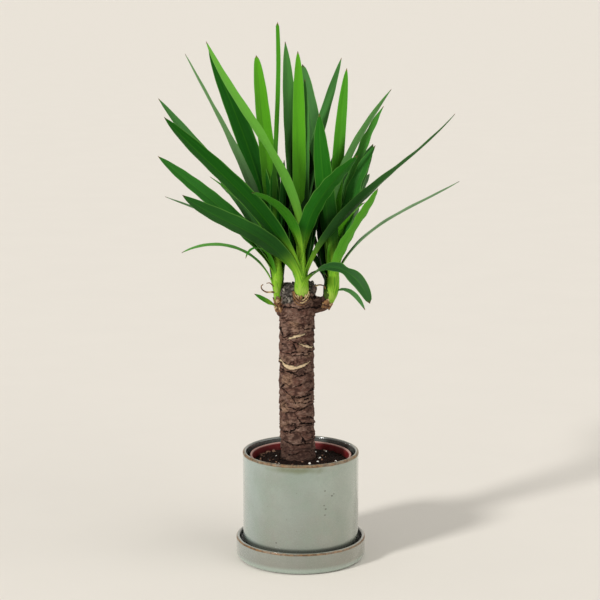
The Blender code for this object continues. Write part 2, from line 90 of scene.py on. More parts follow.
# Pots, as the solids have them.
SEAT_GAP = 0.3 * MM
SAUCER_FLOOR = 6.5 * MM
FOOT_RECESS = 1.5 * MM
PLANTER_UNDERSIDE = SAUCER_FLOOR + SEAT_GAP
PLANTER_RECESS = PLANTER_UNDERSIDE + FOOT_RECESS
PLANTER_FLOOR = PLANTER_RECESS + 6.7 * MM
# Height at which the painted highlight on the saucer's lowest edge begins.
SAUCER_PALE_FROM = 3.5 * MM
POT_STEPS = 144

# Nursery pot.
NURSERY_UNDERSIDE = PLANTER_FLOOR + SEAT_GAP
NURSERY_BASE_RADIUS = 45.5 * MM
NURSERY_MOUTH_RADIUS = 60.3 * MM
NURSERY_LIP = 8 * MM
NURSERY_DRAINS = 6
NURSERY_DRAIN_RADIUS = 4 * MM
NURSERY_DRAIN_CIRCLE = 30 * MM
# Heights over which its rim turns pale, and over which it comes out of the painted shade.
NURSERY_PALE_RIM = (129.5 * MM, 131.2 * MM)
NURSERY_SHADED = (121 * MM, 130 * MM)

# Soil.
SOIL_EDGE_HEIGHT = 122 * MM
SOIL_MOUND = 6.5 * MM
SOIL_HOLE_GAP = 0.4 * MM
SOIL_SHIFT_EDGE = 42.5 * MM

# Cane.
CANE_X = -2.5 * MM
CANE_RADIUS = 20.8 * MM
SOIL_START = CANE_RADIUS - 1.0 * MM
BARK_LOW = SOIL_EDGE_HEIGHT + SOIL_MOUND
CANE_FOOT = 40 * MM
CANE_TOP = 345 * MM
CANE_BOW = 3 * MM
CANE_WAVE = 0.5 * MM
CANE_WAVE_PITCH = 195 * MM
# Waves that the rings of scars wander in: how many round the cane, and how high.
SCAR_WAVES = ((1, 0.30), (2, 0.18), (5, 0.12))
SCAR_WANDER_PITCH = 120 * MM
# Heights over which the bark grows darker towards the soil.
LOW_DARK_BARK = (129 * MM, 168 * MM)
# Lumps of the sawn top: x, y, spread and rise in millimetres.
TOP_LUMPS = ((-14, 2, 8, 3.5), (13, 3, 6, 5))
# Lumps of crust round the sawn top and on the stub: middle and radii in millimetres.
CRUST_LUMPS = (
    ((-18, -11, 342), (4.5, 4, 5)), ((-12, -15, 345.5), (4, 4, 4)),
    ((-20.5, -8, 335), (3.5, 4, 6)), ((-15, -15.5, 335), (4.5, 3.5, 5)),
    ((-12, -18, 329), (3.5, 2.5, 4)), ((13, -13, 345), (4, 4, 5)), ((17, -8, 342), (3, 4, 5)),
    ((11.5, -16.5, 338), (3, 3, 4)), ((21, -5, 328), (6, 5, 4.5)), ((27, -5, 329), (4, 5, 3.5)),
    ((18, -11, 331), (4, 4, 4)),
)
TOP_RIM_SHRINK = 0.95
TOP_RIM_DROP = 1.5 * MM
COLLAR_STRAIGHT = 4 * MM
STEM_STRAIGHT = 3 * MM
# Height of the stem's mesh rows, and of the scars on it, in millimetres.
STEM_ROW = 0.8
STEM_SCAR_PITCH = 5.5

# Blades. Values without MM are shares of a leaf's length or width, powers and counts.
BLADE_TIP = 0.9 * MM
BLADE_ROOT_WIDTH = 0.46
BLADE_WIDEST = 0.45
BLADE_TAPER = 5.5
BLADE_POINT = 0.8
BLUNT_POINT = 0.65
BLADE_FOLD_ROOT = 0.75
BLADE_FOLD = 0.28
BLADE_FOLD_LENGTH = 0.3
ROLL_STEADY = 0.3
ROLL_CHANGE_START = 0.4
ROLL_CHANGE_LENGTH = 0.4
ROOT_OFFSET = 3 * MM
PINCH_LENGTH = 0.07
BLADE_WAVE = 0.035
BLADE_COLUMNS = 12
BLADE_ACROSS = np.linspace(-1, 1, BLADE_COLUMNS + 1)
# Rows that carry a leaf's foot on down the stem, and their height in millimetres.
FOOT_ROWS = 5
FOOT_ROW = 2.4

# Shoots: number, foot, way it faces, axis (start, lean, direction), stem (height, radius) and the
# collar of cane under it (start, radius there, radius at the foot), in millimetres and degrees. A
# leaf's number is its shoot's, plus its place in LEAVES counted from 1.
SHOOTS = {
    "centre": {
        "number": 100,
        "seat": (1, -18.5, 336),
        "facing": (0, -0.12, 1),
        "axis": ((1, -17, 337), 0, 0),
        "stem": ((6, 8.2), (20, 7.6), (38, 6.4), (54, 4)),
        "collar": ((0, -10, 318), 7.5, 8.0),
    },
    "left": {
        "number": 200,
        "seat": (-25.5, -3, 317),
        "facing": (-0.5, 0, 0.85),
        "axis": ((-28, -3, 328), 1, 180),
        "stem": ((2, 4.8), (10, 4.9), (18, 6.4), (26, 7.8), (40, 6.6), (54, 4)),
        "collar": ((-17, -2, 305), 5.0, 5.4),
    },
    "right": {
        "number": 300,
        "seat": (30.5, -3, 322),
        "facing": (0.8, 0, 0.6),
        "axis": ((34, -3, 322), 9, 0),
        "stem": ((1, 4.4), (6, 6.0), (12, 8.2), (22, 9.4), (38, 7), (54, 4)),
        "collar": ((14, -1, 320), 10.5, 6.0),
    },
}

# Leaves that show: height of the root up the stem, azimuth, lean at the root, half way and at the
# tip, length, width, roll at the middle and at the tip, paleness from 0 to 1, and blue bloom with
# painted sheen from 0 for none to 2.
LEAVES = {
    "centre": (
        (30, 205, -12, 32, 23, 308, 15, 32, 30, 0.92, 0.4),
        (18, 210, 20, 46, 43, 273, 25, 40, 40, 0.05, 0.0),
        (12, 208, 19, 61, 51, 198, 25, 50, 50, 0.03, 0.1),
        (42, 238, 0, 54, 71, 150, 14, 12, 12, 0.45, 0.0),
        (45, 104, 10, 2, 4, 248, 17, 0, 0, 0.85, 0.0),
        (35, 312, -10, 40, 50, 178, 22, -25, -25, 0.16, 0.0),
        (14, 348, 15, 48, 39, 279, 18, -40, -5, 0.08, 0.2),
        (8, 318, 29, 93, 158, 131, 19, 25, 45, 0.05, 0.2),
        (40, 60, -5, 26, 30, 265, 18, -10, -10, 0.38, 0.35),
        (45, 115, 14, 9, 8, 262, 20, 0, 0, 0.50, 0.4),
        (48, 80, 10, 5, 3, 212, 18, -20, -20, 0.40, 0.3),
        (6, 200, 25, 21, 82, 72, 11, 20, 20, 0.50, 0.4),
        (6, 338, 10, 50, 150, 46, 8, 0, 0, 0.10, 0.0),
        (20, 125, 12, 10, 8, 100, 24, 0, 0, 0.05, 0.0),
        (24, 55, 14, 16, 18, 95, 24, 0, 0, 0.05, 0.0),
    ),
    "left": (
        (30, 165, 6, 26, 27, 292, 15, -30, 0, 0.70, 1.3),
        (36, 132, 7, 28, 34, 296, 26, -25, -25, 0.13, 0.0),
        (30, 160, 16, 40, 39, 264, 18, -30, -30, 0.35, 0.4),
        (26, 172, 21, 49, 48, 209, 24, -40, -40, 0.33, 0.1),
        (22, 178, 8, 59, 66, 178, 13, -5, -5, 0.20, 0.7),
        (4, 195, 7, 64, 114, 151, 9, -20, -20, 0.70, 0.5),
        (26, 185, -6, 36, 52, 155, 14, -10, -10, 0.65, 0.0),
        (40, 110, 13, 17, 17, 265, 21, 5, 5, 0.88, 0.0),
        (46, 60, -14, 5, -7, 291, 6.5, 0, 0, 0.66, 0.0),
        (42, 320, -1, -5, -2, 122, 16, -10, -10, 0.10, 0.0),
        (40, 60, 9, 8, -4, 131, 14, -20, -20, 0.10, 0.0),
        (14, 222, 15, 35, 160, 88, 9, 0, 0, 0.50, 0.0),
        (-8, 195, 62, 59, 54, 31, 8, -45, -45, 0.58, 0.1),
    ),
    "right": (
        (10, 5, 4, 56, 58, 219, 12, 5, 5, 0.70, 2.0),
        (16, 315, 0, 36, 30, 155, 17, -10, -10, 0.68, 0.1),
        (22, 340, -10, 18, 60, 120, 15, -30, -30, 0.80, 0.0),
        (36, 345, -18, 20, 36, 247, 14, -32, -32, 0.45, 0.7),
        (34, 40, 4, 21, 38, 223, 17, 8, 8, 0.55, 0.2),
        (30, 15, 10, 15, 33, 173, 22, 35, 35, 0.30, 0.1),
        (44, 60, -3, 7, 13, 245, 15, 20, 20, 0.66, 0.0),
        (40, 118, 8, 20, 16, 262, 24, -5, -5, 0.40, 0.5),
        (38, 232, 2, 11, -1, 199, 24, 20, 20, 0.25, 0.0),
        (2, 340, -15, 105, 151, 65, 7, 20, 60, 0.30, 0.5),
        (30, 85, -4, 20, 50, 170, 22, 0, 0, 0.15, 0.0),
        (18, 150, 15, 38, 45, 75, 16, 0, 0, 0.20, 0.0),
    ),
}
# Leaves, by number, whose tip is blunter, and those that narrow once: at what share and how much.
BLUNT_TIPS = {104: 0.35, 108: 0.5, 208: 0.5, 209: 0.12, 308: 0.5}
PINCHES = {101: (0.5, 0.22), 108: (0.6, 0.4), 302: (0.6, 0.3), 310: (0.3, 0.4)}
# Leaves whose margins wave most: how far, as a share of half their width.
WAVED = {106: 0.10, 302: 0.07, 305: 0.14, 306: 0.16, 310: 0.10}
# How deep the lower part of a leaf lies in the shade of the crown, by number, from 0 to 1.
LOW_SHADES = {101: 0.2, 102: 0.3, 103: 0.55, 105: 0.3, 107: 0.75, 109: 1.0, 111: 1.0, 201: 1.0,
              208: 0.6, 209: 1.0, 309: 1.0}
# Short leaves deep in the crown, painted wholly in shade, in the same columns up to the width.
INNER_LEAVES = {
    "centre": ((26, 70, 6, 10, 12, 150, 26), (24, 100, 5, 9, 12, 190, 24),
               (14, 30, 10, 14, 16, 110, 24)),
    "left": ((18, 52, 8, 12, 14, 130, 22), (12, 100, 8, 12, 14, 110, 22)),
    "right": ((18, 128, 8, 14, 16, 130, 22), (14, 80, 6, 12, 14, 110, 22),
              (14, 175, 14, 16, 18, 110, 22)),
}
# Leaves on the back of each shoot: how many, and the azimuths that they lie between. Then the
# heights, leans, lengths and widths that they are drawn from.
BACK_LEAVES = {"centre": (4, 74, 98), "left": (5, 94, 118), "right": (5, 60, 92)}
BACK_ROOT_HEIGHTS = (34, 8)
BACK_ROOT_LEAN = 14
BACK_MIDDLE_LEAN = 0.8
BACK_TIP_LEANS = (50, 95)
BACK_LENGTHS = (190, 225)
BACK_WIDTHS = (20, 24)

# Torn scars and cracks on the front of the cane: the way that each runs as x and height, then its
# half width.
TORN_SCARS = (
    (((-14, 283), (-8, 284.5), (-3, 286), (5, 288.5)), 1.4),
    (((-2, 276), (5, 273.5), (10, 271.5), (13.5, 270)), 1.4),
    (((-25, 257), (-24, 254.5), (-20, 249.5), (-14.5, 247), (-7, 246), (3, 248.5),
      (10.5, 252)), 2.0),
)
BARK_CRACKS = (
    (((-26, 219), (-19, 216.5), (-8, 208.5)), 0.9),
    (((-8, 208.5), (1, 210), (14, 216)), 0.7),
    (((-25.5, 191), (-19, 185.5)), 1.0),
    (((-11, 189.5), (1, 193), (15, 197)), 0.6),
    (((-4, 183.5), (1, 176.5), (13, 174)), 0.7),
    (((-22, 162), (-12, 165.5), (-3, 172)), 0.8),
    (((-22, 153), (-10, 147.5), (5, 151.5), (17, 158)), 0.7),
    (((-11, 208.5), (-7, 202), (14, 201)), 0.6),
    (((-15, 241.5), (-3, 236), (14, 240)), 0.6),
    (((-9, 275), (-6, 270)), 1.2),
    (((-23.5, 293), (-21, 286.5)), 1.5),
    (((-22, 280.5), (-10, 279.5), (-2, 275)), 0.7),
)

# Spots on the bark: x and height, and how far each reaches in x and in height.
# The two spots on the left are painted highlights on the lit side; the others are tan patches.
TAN_AND_HIGHLIGHT_SPOTS = ((-18, 230, 9, 9), (-20, 194, 7, 7), (8, 262, 6, 6), (-6, 300, 7, 7), (24, 318, 7, 7))
# A painted highlight patch on the left of the cane.
PALE_PATCH = (-17, 272, 6, 5)
DARK_STUB = (24, 324, 12, 9)
# A charred run that hangs down the front, left of the middle shoot.
CHAR_RUN = (-16, 337, 9, 14)

# Dried leaf curls at the top of the cane: the way that each runs, and its radius at the root.
DRY_CURLS = (
    (((-29, -4, 337), (-35, -6, 338), (-42, -6, 338), (-47, -6, 341), (-48.5, -6, 345),
      (-46, -6, 347.5)), 2.2),
    (((-30, -6, 343), (-35, -7, 347), (-38, -7, 349.5), (-42, -7, 349)), 1.7),
    (((14, -9, 341), (17, -11, 345.5), (23, -12, 348), (28.5, -12, 346.5), (30, -12, 343)), 2.1),
    (((-9.5, -19, 341), (-7.5, -24, 335), (-2, -28, 330), (3, -28.5, 329), (8.5, -25, 334),
      (11, -19, 341)), 1.5),
    (((-8.5, -21, 341), (-6, -26, 337), (-1.5, -29, 333), (3, -29, 332.5), (7.5, -26, 336),
      (10, -21, 342)), 1.2),
    (((-10, -18, 333), (-5, -24.5, 327), (1, -26, 325), (7, -24, 327), (12, -19, 332)), 1.0),
)

# Papery scales at each shoot's foot: how many, their size, how far under the foot they begin, how
# far they rise, how much they lean out, and how high up the shoot it is dry and brown.
BUD_SCALES = {
    "centre": (16, 0.55, 4.5, 2, 0.35, 1.5),
    "left": (36, 0.85, 4.5, 14, 0.3, 12),
    "right": (20, 0.9, 5.0, 7, 0.2, 4),
}

# Iron spots on the front of the planter: x, height and radius in millimetres.
IRON_SPOTS = ((29.5, 103, 1.5), (38, 95.5, 1.7), (40.5, 97.5, 1.3), (28.5, 84.5, 1.3),
              (30.5, 80, 1.7), (29.5, 72.5, 1.4), (-30, 37, 1.5))
# Each glaze: height and colour of its lowest edge (painted shade on the planter where it stands in
# its saucer, and a painted highlight on the saucer's curved edge), half the height of the brown
# break on its lip, the colour that it pools to under the lip, and its iron spots.
GLAZE_DETAILS = {
    "celadon_glaze": (4 * MM, (0.05, 0.055, 0.045), 2.3 * MM, (0.125, 0.145, 0.078), IRON_SPOTS),
    "saucer_glaze": (7 * MM, (0.33, 0.41, 0.35), 1.5 * MM, None, ()),
}

# Stage, in metres.
FLOOR_RADIUS = 400.0
CAMERA_DISTANCE = 2.068
CAMERA_TARGET = (-0.0009, 0, 0.327)


def clamp(value, low=0.0, high=1.0):
    return min(max(value, low), high)


def smooth(low, high, value):
    """0 below low, 1 above high and a smooth step between, for numbers and arrays."""
    share = np.clip((value - low) / (high - low), 0.0, 1.0)
    return share * share * (3 - 2 * share)


# ----------------------------------------------------------------------------------------- settings


def size_setting(name, text, size, least):
    return FloatProperty(name=name, description=text, default=size, min=least, unit="LENGTH")


def colour_setting(name, text, colour):
    return FloatVectorProperty(name=name, description=text, default=colour, subtype="COLOR",
                               size=3, min=0, max=1)


def count_setting(name, text, count):
    return IntProperty(name=name, description=text, default=count, min=0)


def strength_setting(name, text, strength):
    return FloatProperty(name=name, description=text, default=strength, min=0)


class YuccaPotSettings(bpy.types.PropertyGroup):
    """Sizes and colours of the planter, its saucer and the nursery pot in it."""

    planter_radius: size_setting(
        "Planter radius", "Outer radius of the glazed planter", 72.5 * MM, 0.03)
    planter_wall: size_setting(
        "Planter wall", "Thickness of the planter's wall", 4.4 * MM, 0.001)
    saucer_radius: size_setting(
        "Saucer radius", "Outer radius of the glazed saucer", 81 * MM, 0.03)
    saucer_wall: size_setting(
        "Saucer wall", "Thickness of the saucer's wall", 4.6 * MM, 0.001)
    nursery_wall: size_setting(
        "Nursery pot wall", "Thickness of the plastic wall", 1.2 * MM, 0.0005)
    glaze: colour_setting(
        "Glaze", "Main colour of the planter's glaze", (0.285, 0.338, 0.292))
    glaze_grey: colour_setting(
        "Grey glaze", "Colour where the glaze turns greyer and warmer", (0.202, 0.194, 0.164))
    saucer_glaze: colour_setting(
        "Saucer glaze", "Main colour of the saucer's glaze", (0.24, 0.252, 0.215))
    rim_brown: colour_setting(
        "Rim brown", "Colour of the clay where the glaze breaks on an edge",
        (0.19, 0.084, 0.014))
    terracotta: colour_setting(
        "Terracotta plastic", "Colour of the nursery pot", (0.14, 0.009, 0.010))


class YuccaSoilSettings(bpy.types.PropertyGroup):
    """Numbers and colours of the potting soil and what lies on it."""

    crumbs: count_setting("Crumbs", "Crumbs of soil a square metre", 260000)
    clods: count_setting("Clods", "Larger clods a square metre", 24000)
    perlite: count_setting("Perlite", "White perlite grains a square metre", 2600)
    bark_bits: count_setting("Bark bits", "Chips of bark a square metre", 5000)
    colour: colour_setting("Soil", "Colour of moist potting soil", (0.0065, 0.0042, 0.0035))
    bark_colour: colour_setting(
        "Bark bits", "Colour of the chips of bark", (0.085, 0.040, 0.022))


class YuccaCaneSettings(bpy.types.PropertyGroup):
    """Relief and colours of the cane's bark."""

    grain: size_setting("Mesh grain", "Size of the bark's mesh cells", 0.78 * MM, 0.0005)
    scar_pitch: size_setting(
        "Scar pitch", "Height from one leaf scar to the next", 12.5 * MM, 0.004)
    scar_step: size_setting(
        "Scar step", "How far each scar's ledge stands out", 1.3 * MM, 0)
    bark: colour_setting("Bark", "Main colour of the bark", (0.165, 0.078, 0.056))
    bark_grey: colour_setting(
        "Weathered bark", "Colour of the greyer patches", (0.30, 0.185, 0.138))
    # Colour of the cracks, and of the painted shadow under the ledges.
    crack: colour_setting(
        "Cracks", "Colour in the cracks and under the ledges", (0.010, 0.004, 0.003))
    torn: colour_setting(
        "Torn scars", "Colour of bare wood in the torn scars", (0.78, 0.60, 0.38))


class YuccaLeafSettings(bpy.types.PropertyGroup):
    """Sizes and colours of the leaves."""

    thickness: size_setting(
        "Thickness", "Thickness of a leaf along its middle", 0.9 * MM, 0.0003)
    row: size_setting("Row", "Length of a leaf's mesh cells", 4.0 * MM, 0.001)
    dark: colour_setting("Dark green", "Colour of the oldest leaves", (0.003, 0.050, 0.002))
    middle: colour_setting(
        "Middle green", "Colour of full-grown leaves", (0.022, 0.160, 0.010))
    light: colour_setting("Light green", "Colour of young leaves", (0.115, 0.41, 0.015))
    bloom: colour_setting(
        "Blue bloom", "Colour of the waxy bloom on some leaves", (0.22, 0.36, 0.19))
    lime: colour_setting("Lime base", "Colour of the leaves' bases", (0.24, 0.46, 0.03))


class YuccaStageSettings(bpy.types.PropertyGroup):
    """The floor, the light and the camera."""

    floor: colour_setting("Floor", "Colour of the studio floor", (0.79, 0.75, 0.69))
    key: strength_setting("Key light", "Strength of the soft sun", 2.4)
    side: strength_setting("Side light", "Strength of the wide sun from the right", 1.5)
    sky: strength_setting("Fill light", "Strength of the light from all round", 0.52)
    lens: FloatProperty(name="Lens", description="Focal length of the camera in millimetres",
                        default=100.8, min=10)
    tilt: FloatProperty(name="Tilt", description="How far the camera looks down",
                        default=math.radians(10.3), subtype="ANGLE", unit="ROTATION")


# ------------------------------------------------------------------------------------ small helpers


def linked(name, data):
    """A new object of the scene."""
    thing = bpy.data.objects.new(name, data)
    bpy.context.scene.collection.objects.link(thing)
    return thing


def add_piece(name, mesh, material, replaced=()):
    """Links a finished mesh as a piece that rides on the plant's one body."""
    thing = linked(name, mesh)
    mesh.name = name
    mesh.materials.clear()
    mesh.materials.append(material)
    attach(thing, BODY)
    if replaced:
        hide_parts(*replaced)


def finished_mesh(thing):
    """The plain mesh that an object's modifier makes. The object is then removed."""
    bpy.context.view_layer.update()
    evaluated = thing.evaluated_get(bpy.context.evaluated_depsgraph_get())
    mesh = bpy.data.meshes.new_from_object(evaluated)
    thing.modifiers.clear()
    bpy.data.objects.remove(thing)
    return mesh


def modified_mesh(mesh, name, kind, **settings):
    """The mesh as one modifier leaves it."""
    thing = linked(name, mesh)
    modifier = thing.modifiers.new(name, kind)
    for key, value in settings.items():
        setattr(modifier, key, value)
    return finished_mesh(thing)


def circle(radius, height, steps, x=0.0):
    """Places round a level circle, begun on its +X side."""
    turns = [TAU * j / steps for j in range(steps)]
    return [(radius * math.cos(turn) + x, radius * math.sin(turn), height) for turn in turns]


def ring_faces(rows, steps):
    """Faces between rows of rings that have steps places each."""
    faces = []
    for i in range(rows - 1):
        for j in range(steps):
            k = (j + 1) % steps
            faces.append((i * steps + j, (i + 1) * steps + j, (i + 1) * steps + k, i * steps + k))
    return faces


def new_mesh(name, places, faces, edges=()):
    mesh = bpy.data.meshes.new(name)
    mesh.from_pydata(places, edges, faces)
    return mesh


# Kinds of socket for a tree's inputs, by the type of their default.
SOCKETS = {float: "NodeSocketFloat", int: "NodeSocketInt", tuple: "NodeSocketVector"}


def node_tree(name, kind, inputs, outputs, fill):
    """A node tree, built once. An input is given by its default, or by its kind of socket."""
    if name in bpy.data.node_groups:
        return bpy.data.node_groups[name]
    tree = bpy.data.node_groups.new(name, kind)
    for key, default in inputs.items():
        plain = not isinstance(default, str)
        socket = tree.interface.new_socket(
            name=key, in_out="INPUT", socket_type=SOCKETS[type(default)] if plain else default)
        if plain:
            socket.default_value = default
    for key, socket_kind in outputs.items():
        tree.interface.new_socket(name=key, in_out="OUTPUT", socket_type=socket_kind)
    start = tree.nodes.new("NodeGroupInput")
    end = tree.nodes.new("NodeGroupOutput")
    fill(tree, start.outputs, end.inputs)
    return tree


def mesh_of(name, shape):
    """The mesh that a bmesh holds. The bmesh is then freed."""
    mesh = bpy.data.meshes.new(name)
    shape.to_mesh(mesh)
    shape.free()
    return mesh


def close_mesh(mesh, weld=WELD):
    """Merges doubles and turns the faces of a closed mesh outwards."""
    shape = bmesh.new()
    shape.from_mesh(mesh)
    bmesh.ops.remove_doubles(shape, verts=shape.verts, dist=weld)
    bmesh.ops.dissolve_degenerate(shape, edges=shape.edges, dist=weld / 2)
    if shape.calc_volume(signed=True) < 0:
        bmesh.ops.reverse_faces(shape, faces=shape.faces)
    shape.to_mesh(mesh)
    shape.free()
    return mesh


def shade(mesh, angle=40):
    mesh.shade_smooth()
    mesh.set_sharp_from_angle(angle=math.radians(angle))
    return mesh


def positions(mesh):
    places = np.empty(len(mesh.vertices) * 3)
    mesh.vertices.foreach_get("co", places)
    return places.reshape(-1, 3)


def normals(mesh):
    ways = np.empty(len(mesh.vertices) * 3)
    mesh.vertex_normals.foreach_get("vector", ways)
    return ways.reshape(-1, 3)


def set_positions(mesh, places):
    mesh.vertices.foreach_set("co", np.ascontiguousarray(places).ravel())
    mesh.update()


def set_mask(mesh, name, values):
    """Stores one number a vertex, for the materials to read."""
    layer = mesh.attributes.new(name, "FLOAT", "POINT")
    layer.data.foreach_set("value", np.asarray(values, dtype=np.float32))


def rough(places, scale, octaves=4, shift=0.0):
    """Fractal noise at every place, about -1 to 1."""
    points = places * scale + shift
    return np.array([noise.fractal(Vector(p), 1.0, 2.0, octaves) for p in points])


def arc(centre_r, centre_z, radius_r, radius_z, start, end, count):
    """Points of an elliptic arc in the profile plane, angles in degrees from +r towards +Z."""
    points = []
    for i in range(count + 1):
        angle = math.radians(start + (end - start) * i / count)
        points.append((centre_r + radius_r * math.cos(angle),
                       centre_z + radius_z * math.sin(angle)))
    return points


# ------------------------------------------------------------------------------ geometry node trees


def geometry_tree(name, inputs, fill):
    """A Geometry Nodes tree, which ends in Realize Instances and Set Material."""
    def finish(tree, given, out):
        real = add_node(tree, "GeometryNodeRealizeInstances", {"Geometry": fill(tree, given)})
        dressed = add_node(tree, "GeometryNodeSetMaterial", {
            "Geometry": real.outputs[0], "Material": given["Material"]})
        tree.links.new(dressed.outputs[0], out["Geometry"])
    kind = "NodeSocketGeometry"
    return node_tree(name, "GeometryNodeTree",
                     {"Geometry": kind, **inputs, "Material": "NodeSocketMaterial"},
                     {"Geometry": kind}, finish)


def add_node(tree, kind, inputs=None, **settings):
    """Adds a node, sets its properties, and feeds its inputs by name or place."""
    node = tree.nodes.new(kind)
    for key, value in settings.items():
        setattr(node, key, value)
    feed(tree, node.inputs, inputs or {})
    return node


def geometry(tree, kind, inputs=None, **settings):
    """Adds a geometry node, and gives its first output."""
    return add_node(tree, f"GeometryNode{kind}", inputs, **settings).outputs[0]


def feed(tree, sockets, values):
    """Links each value that is a socket, and sets each plain one."""
    for key, value in values.items():
        if isinstance(value, bpy.types.NodeSocket):
            tree.links.new(value, sockets[key])
        else:
            sockets[key].default_value = value


def maths(tree, operation, first, second=0.0, third=None, clamped=False):
    values = {0: first, 1: second}
    if third is not None:
        values[2] = third
    return add_node(tree, "ShaderNodeMath", values, operation=operation,
                    use_clamp=clamped).outputs[0]


def vector_maths(tree, operation, first, second=(0.0, 0.0, 0.0)):
    node = add_node(tree, "ShaderNodeVectorMath", {0: first, 1: second}, operation=operation)
    return node.outputs["Value" if operation == "LENGTH" else "Vector"]


def scaled(tree, vector, factor):
    return add_node(tree, "ShaderNodeVectorMath", {0: vector, "Scale": factor},
                    operation="SCALE").outputs["Vector"]


def axes(tree, place):
    """A place's X, Y and Z."""
    return list(add_node(tree, "ShaderNodeSeparateXYZ", {0: place}).outputs)


def vector(tree, x, y, z):
    return add_node(tree, "ShaderNodeCombineXYZ", {"X": x, "Y": y, "Z": z}).outputs[0]


def random_value(tree, low, high, seed):
    return add_node(tree, "FunctionNodeRandomValue", {2: low, 3: high, "Seed": seed},
                    data_type="FLOAT").outputs[1]


def times(tree, first, second):
    return maths(tree, "MULTIPLY", first, second)


def run_tree(tree, mesh, values):
    """The plain mesh that a tree makes of a mesh, with its inputs set by identifier."""
    thing = linked(tree.name, mesh)
    modifier = thing.modifiers.new(tree.name, "NODES")
    modifier.node_group = tree
    for socket in tree.interface.items_tree:
        if socket.in_out == "INPUT" and socket.name in values:
            modifier[socket.identifier] = values[socket.name]
    return finished_mesh(thing)


def turned_tree():
    """Turns a profile of (radius, 0, height) points round Z."""
    def fill(tree, given):
        profile = given["Geometry"]
        rows = add_node(tree, "GeometryNodeAttributeDomainSize",
                        {"Geometry": profile}).outputs["Point Count"]
        grid = geometry(tree, "MeshGrid", {
            "Size X": 1.0, "Size Y": 1.0, "Vertices X": maths(tree, "ADD", given["Steps"], 1),
            "Vertices Y": rows})
        place = geometry(tree, "InputPosition")
        across, up, _ = axes(tree, place)
        turn = times(tree, maths(tree, "ADD", across, 0.5), TAU)
        row = times(tree, maths(tree, "ADD", up, 0.5), maths(tree, "SUBTRACT", rows, 1))
        taken = geometry(tree, "SampleIndex", {
            "Geometry": profile, "Value": place, "Index": maths(tree, "ROUND", row)},
            data_type="FLOAT_VECTOR", domain="POINT")
        swung = add_node(tree, "ShaderNodeVectorRotate", {
            "Vector": taken, "Angle": turn}, rotation_type="Z_AXIS")
        moved = geometry(tree, "SetPosition", {
            "Geometry": grid, "Position": swung.outputs[0]})
        return geometry(tree, "MergeByDistance", {"Geometry": moved, "Distance": WELD})
    return geometry_tree("Turned on the wheel", {"Steps": POT_STEPS}, fill)


def turned(name, profile, material):
    mesh = new_mesh(name, [(r, 0, z) for r, z in profile], ())
    return close_mesh(run_tree(turned_tree(), mesh, {"Steps": POT_STEPS, "Material": material}))


def scatter_tree():
    """Scatters rough little lumps over the input surface."""
    def fill(tree, given):
        points = geometry(tree, "DistributePointsOnFaces", {
            "Mesh": given["Geometry"], "Density": given["Per square metre"],
            "Seed": given["Seed"]}, distribute_method="RANDOM")
        ball = geometry(tree, "MeshIcoSphere", {
            "Radius": 1.0, "Subdivisions": given["Detail"]})
        turn = add_node(tree, "FunctionNodeRandomValue", {
            0: (0.0, 0.0, 0.0), 1: (TAU, TAU, TAU), "Seed": given["Seed"]},
            data_type="FLOAT_VECTOR")
        size = random_value(tree, given["Smallest"], given["Largest"], given["Seed"])
        lowered = geometry(tree, "SetPosition", {
            "Geometry": points,
            "Offset": vector(tree, 0.0, 0.0, times(tree, given["Sunk"], -1.0))})
        placed = geometry(tree, "InstanceOnPoints", {
            "Points": lowered, "Instance": ball,
            "Rotation": turn.outputs[0], "Scale": scaled(tree, given["Shape"], size)})
        real = geometry(tree, "RealizeInstances", {"Geometry": placed})
        place = geometry(tree, "InputPosition")
        lumps = add_node(tree, "ShaderNodeTexNoise", {
            "Vector": place, "Scale": 900.0, "Detail": 1.0})
        centred = vector_maths(tree, "SUBTRACT", lumps.outputs["Color"], (0.5, 0.5, 0.5))
        reach = times(tree, given["Largest"], given["Roughness"])
        return geometry(tree, "SetPosition", {
            "Geometry": real, "Offset": scaled(tree, centred, times(tree, reach, 4.0))})
    return geometry_tree("Scattered lumps", {
        "Per square metre": 1000.0, "Smallest": 0.5 * MM, "Largest": 1.5 * MM,
        "Shape": (1.0, 1.0, 1.0), "Roughness": 0.35, "Sunk": 0.0, "Detail": 1, "Seed": SEED},
        fill)


def ring_tree():
    """Sets copies of the input scale round a ring, in rising rows, each leaning out a little."""
    def fill(tree, given):
        line = geometry(tree, "MeshLine", {"Count": given["Count"]}, mode="OFFSET")
        number = geometry(tree, "InputIndex")
        share = maths(tree, "DIVIDE", number, given["Count"])
        wobble = random_value(tree, -0.35, 0.35, given["Seed"])
        turn = maths(tree, "ADD", times(tree, number, GOLDEN_ANGLE), wobble)
        narrowed = maths(tree, "SUBTRACT", 1.0, times(tree, share, given["Taper"]))
        radius = times(tree, given["Radius"], narrowed)
        points = geometry(tree, "SetPosition", {
            "Geometry": line,
            "Position": vector(tree, times(tree, radius, maths(tree, "COSINE", turn)),
                               times(tree, radius, maths(tree, "SINE", turn)),
                               times(tree, share, given["Rise"]))})
        lean = random_value(tree, times(tree, given["Lean"], 0.4), given["Lean"],
                            maths(tree, "ADD", given["Seed"], 1))
        way = vector(tree, times(tree, lean, -1.0), 0.0,
                     maths(tree, "SUBTRACT", turn, math.pi / 2))
        size = random_value(tree, given["Smallest"], given["Largest"],
                            maths(tree, "ADD", given["Seed"], 2))
        return geometry(tree, "InstanceOnPoints", {
            "Points": points, "Instance": given["Geometry"], "Rotation": way, "Scale": size})
    return geometry_tree("Ring of bud scales", {
        "Count": 12, "Radius": 6 * MM, "Rise": 10 * MM, "Taper": 0.2, "Lean": 0.3,
        "Smallest": 0.7, "Largest": 1.2, "Seed": SEED}, fill)


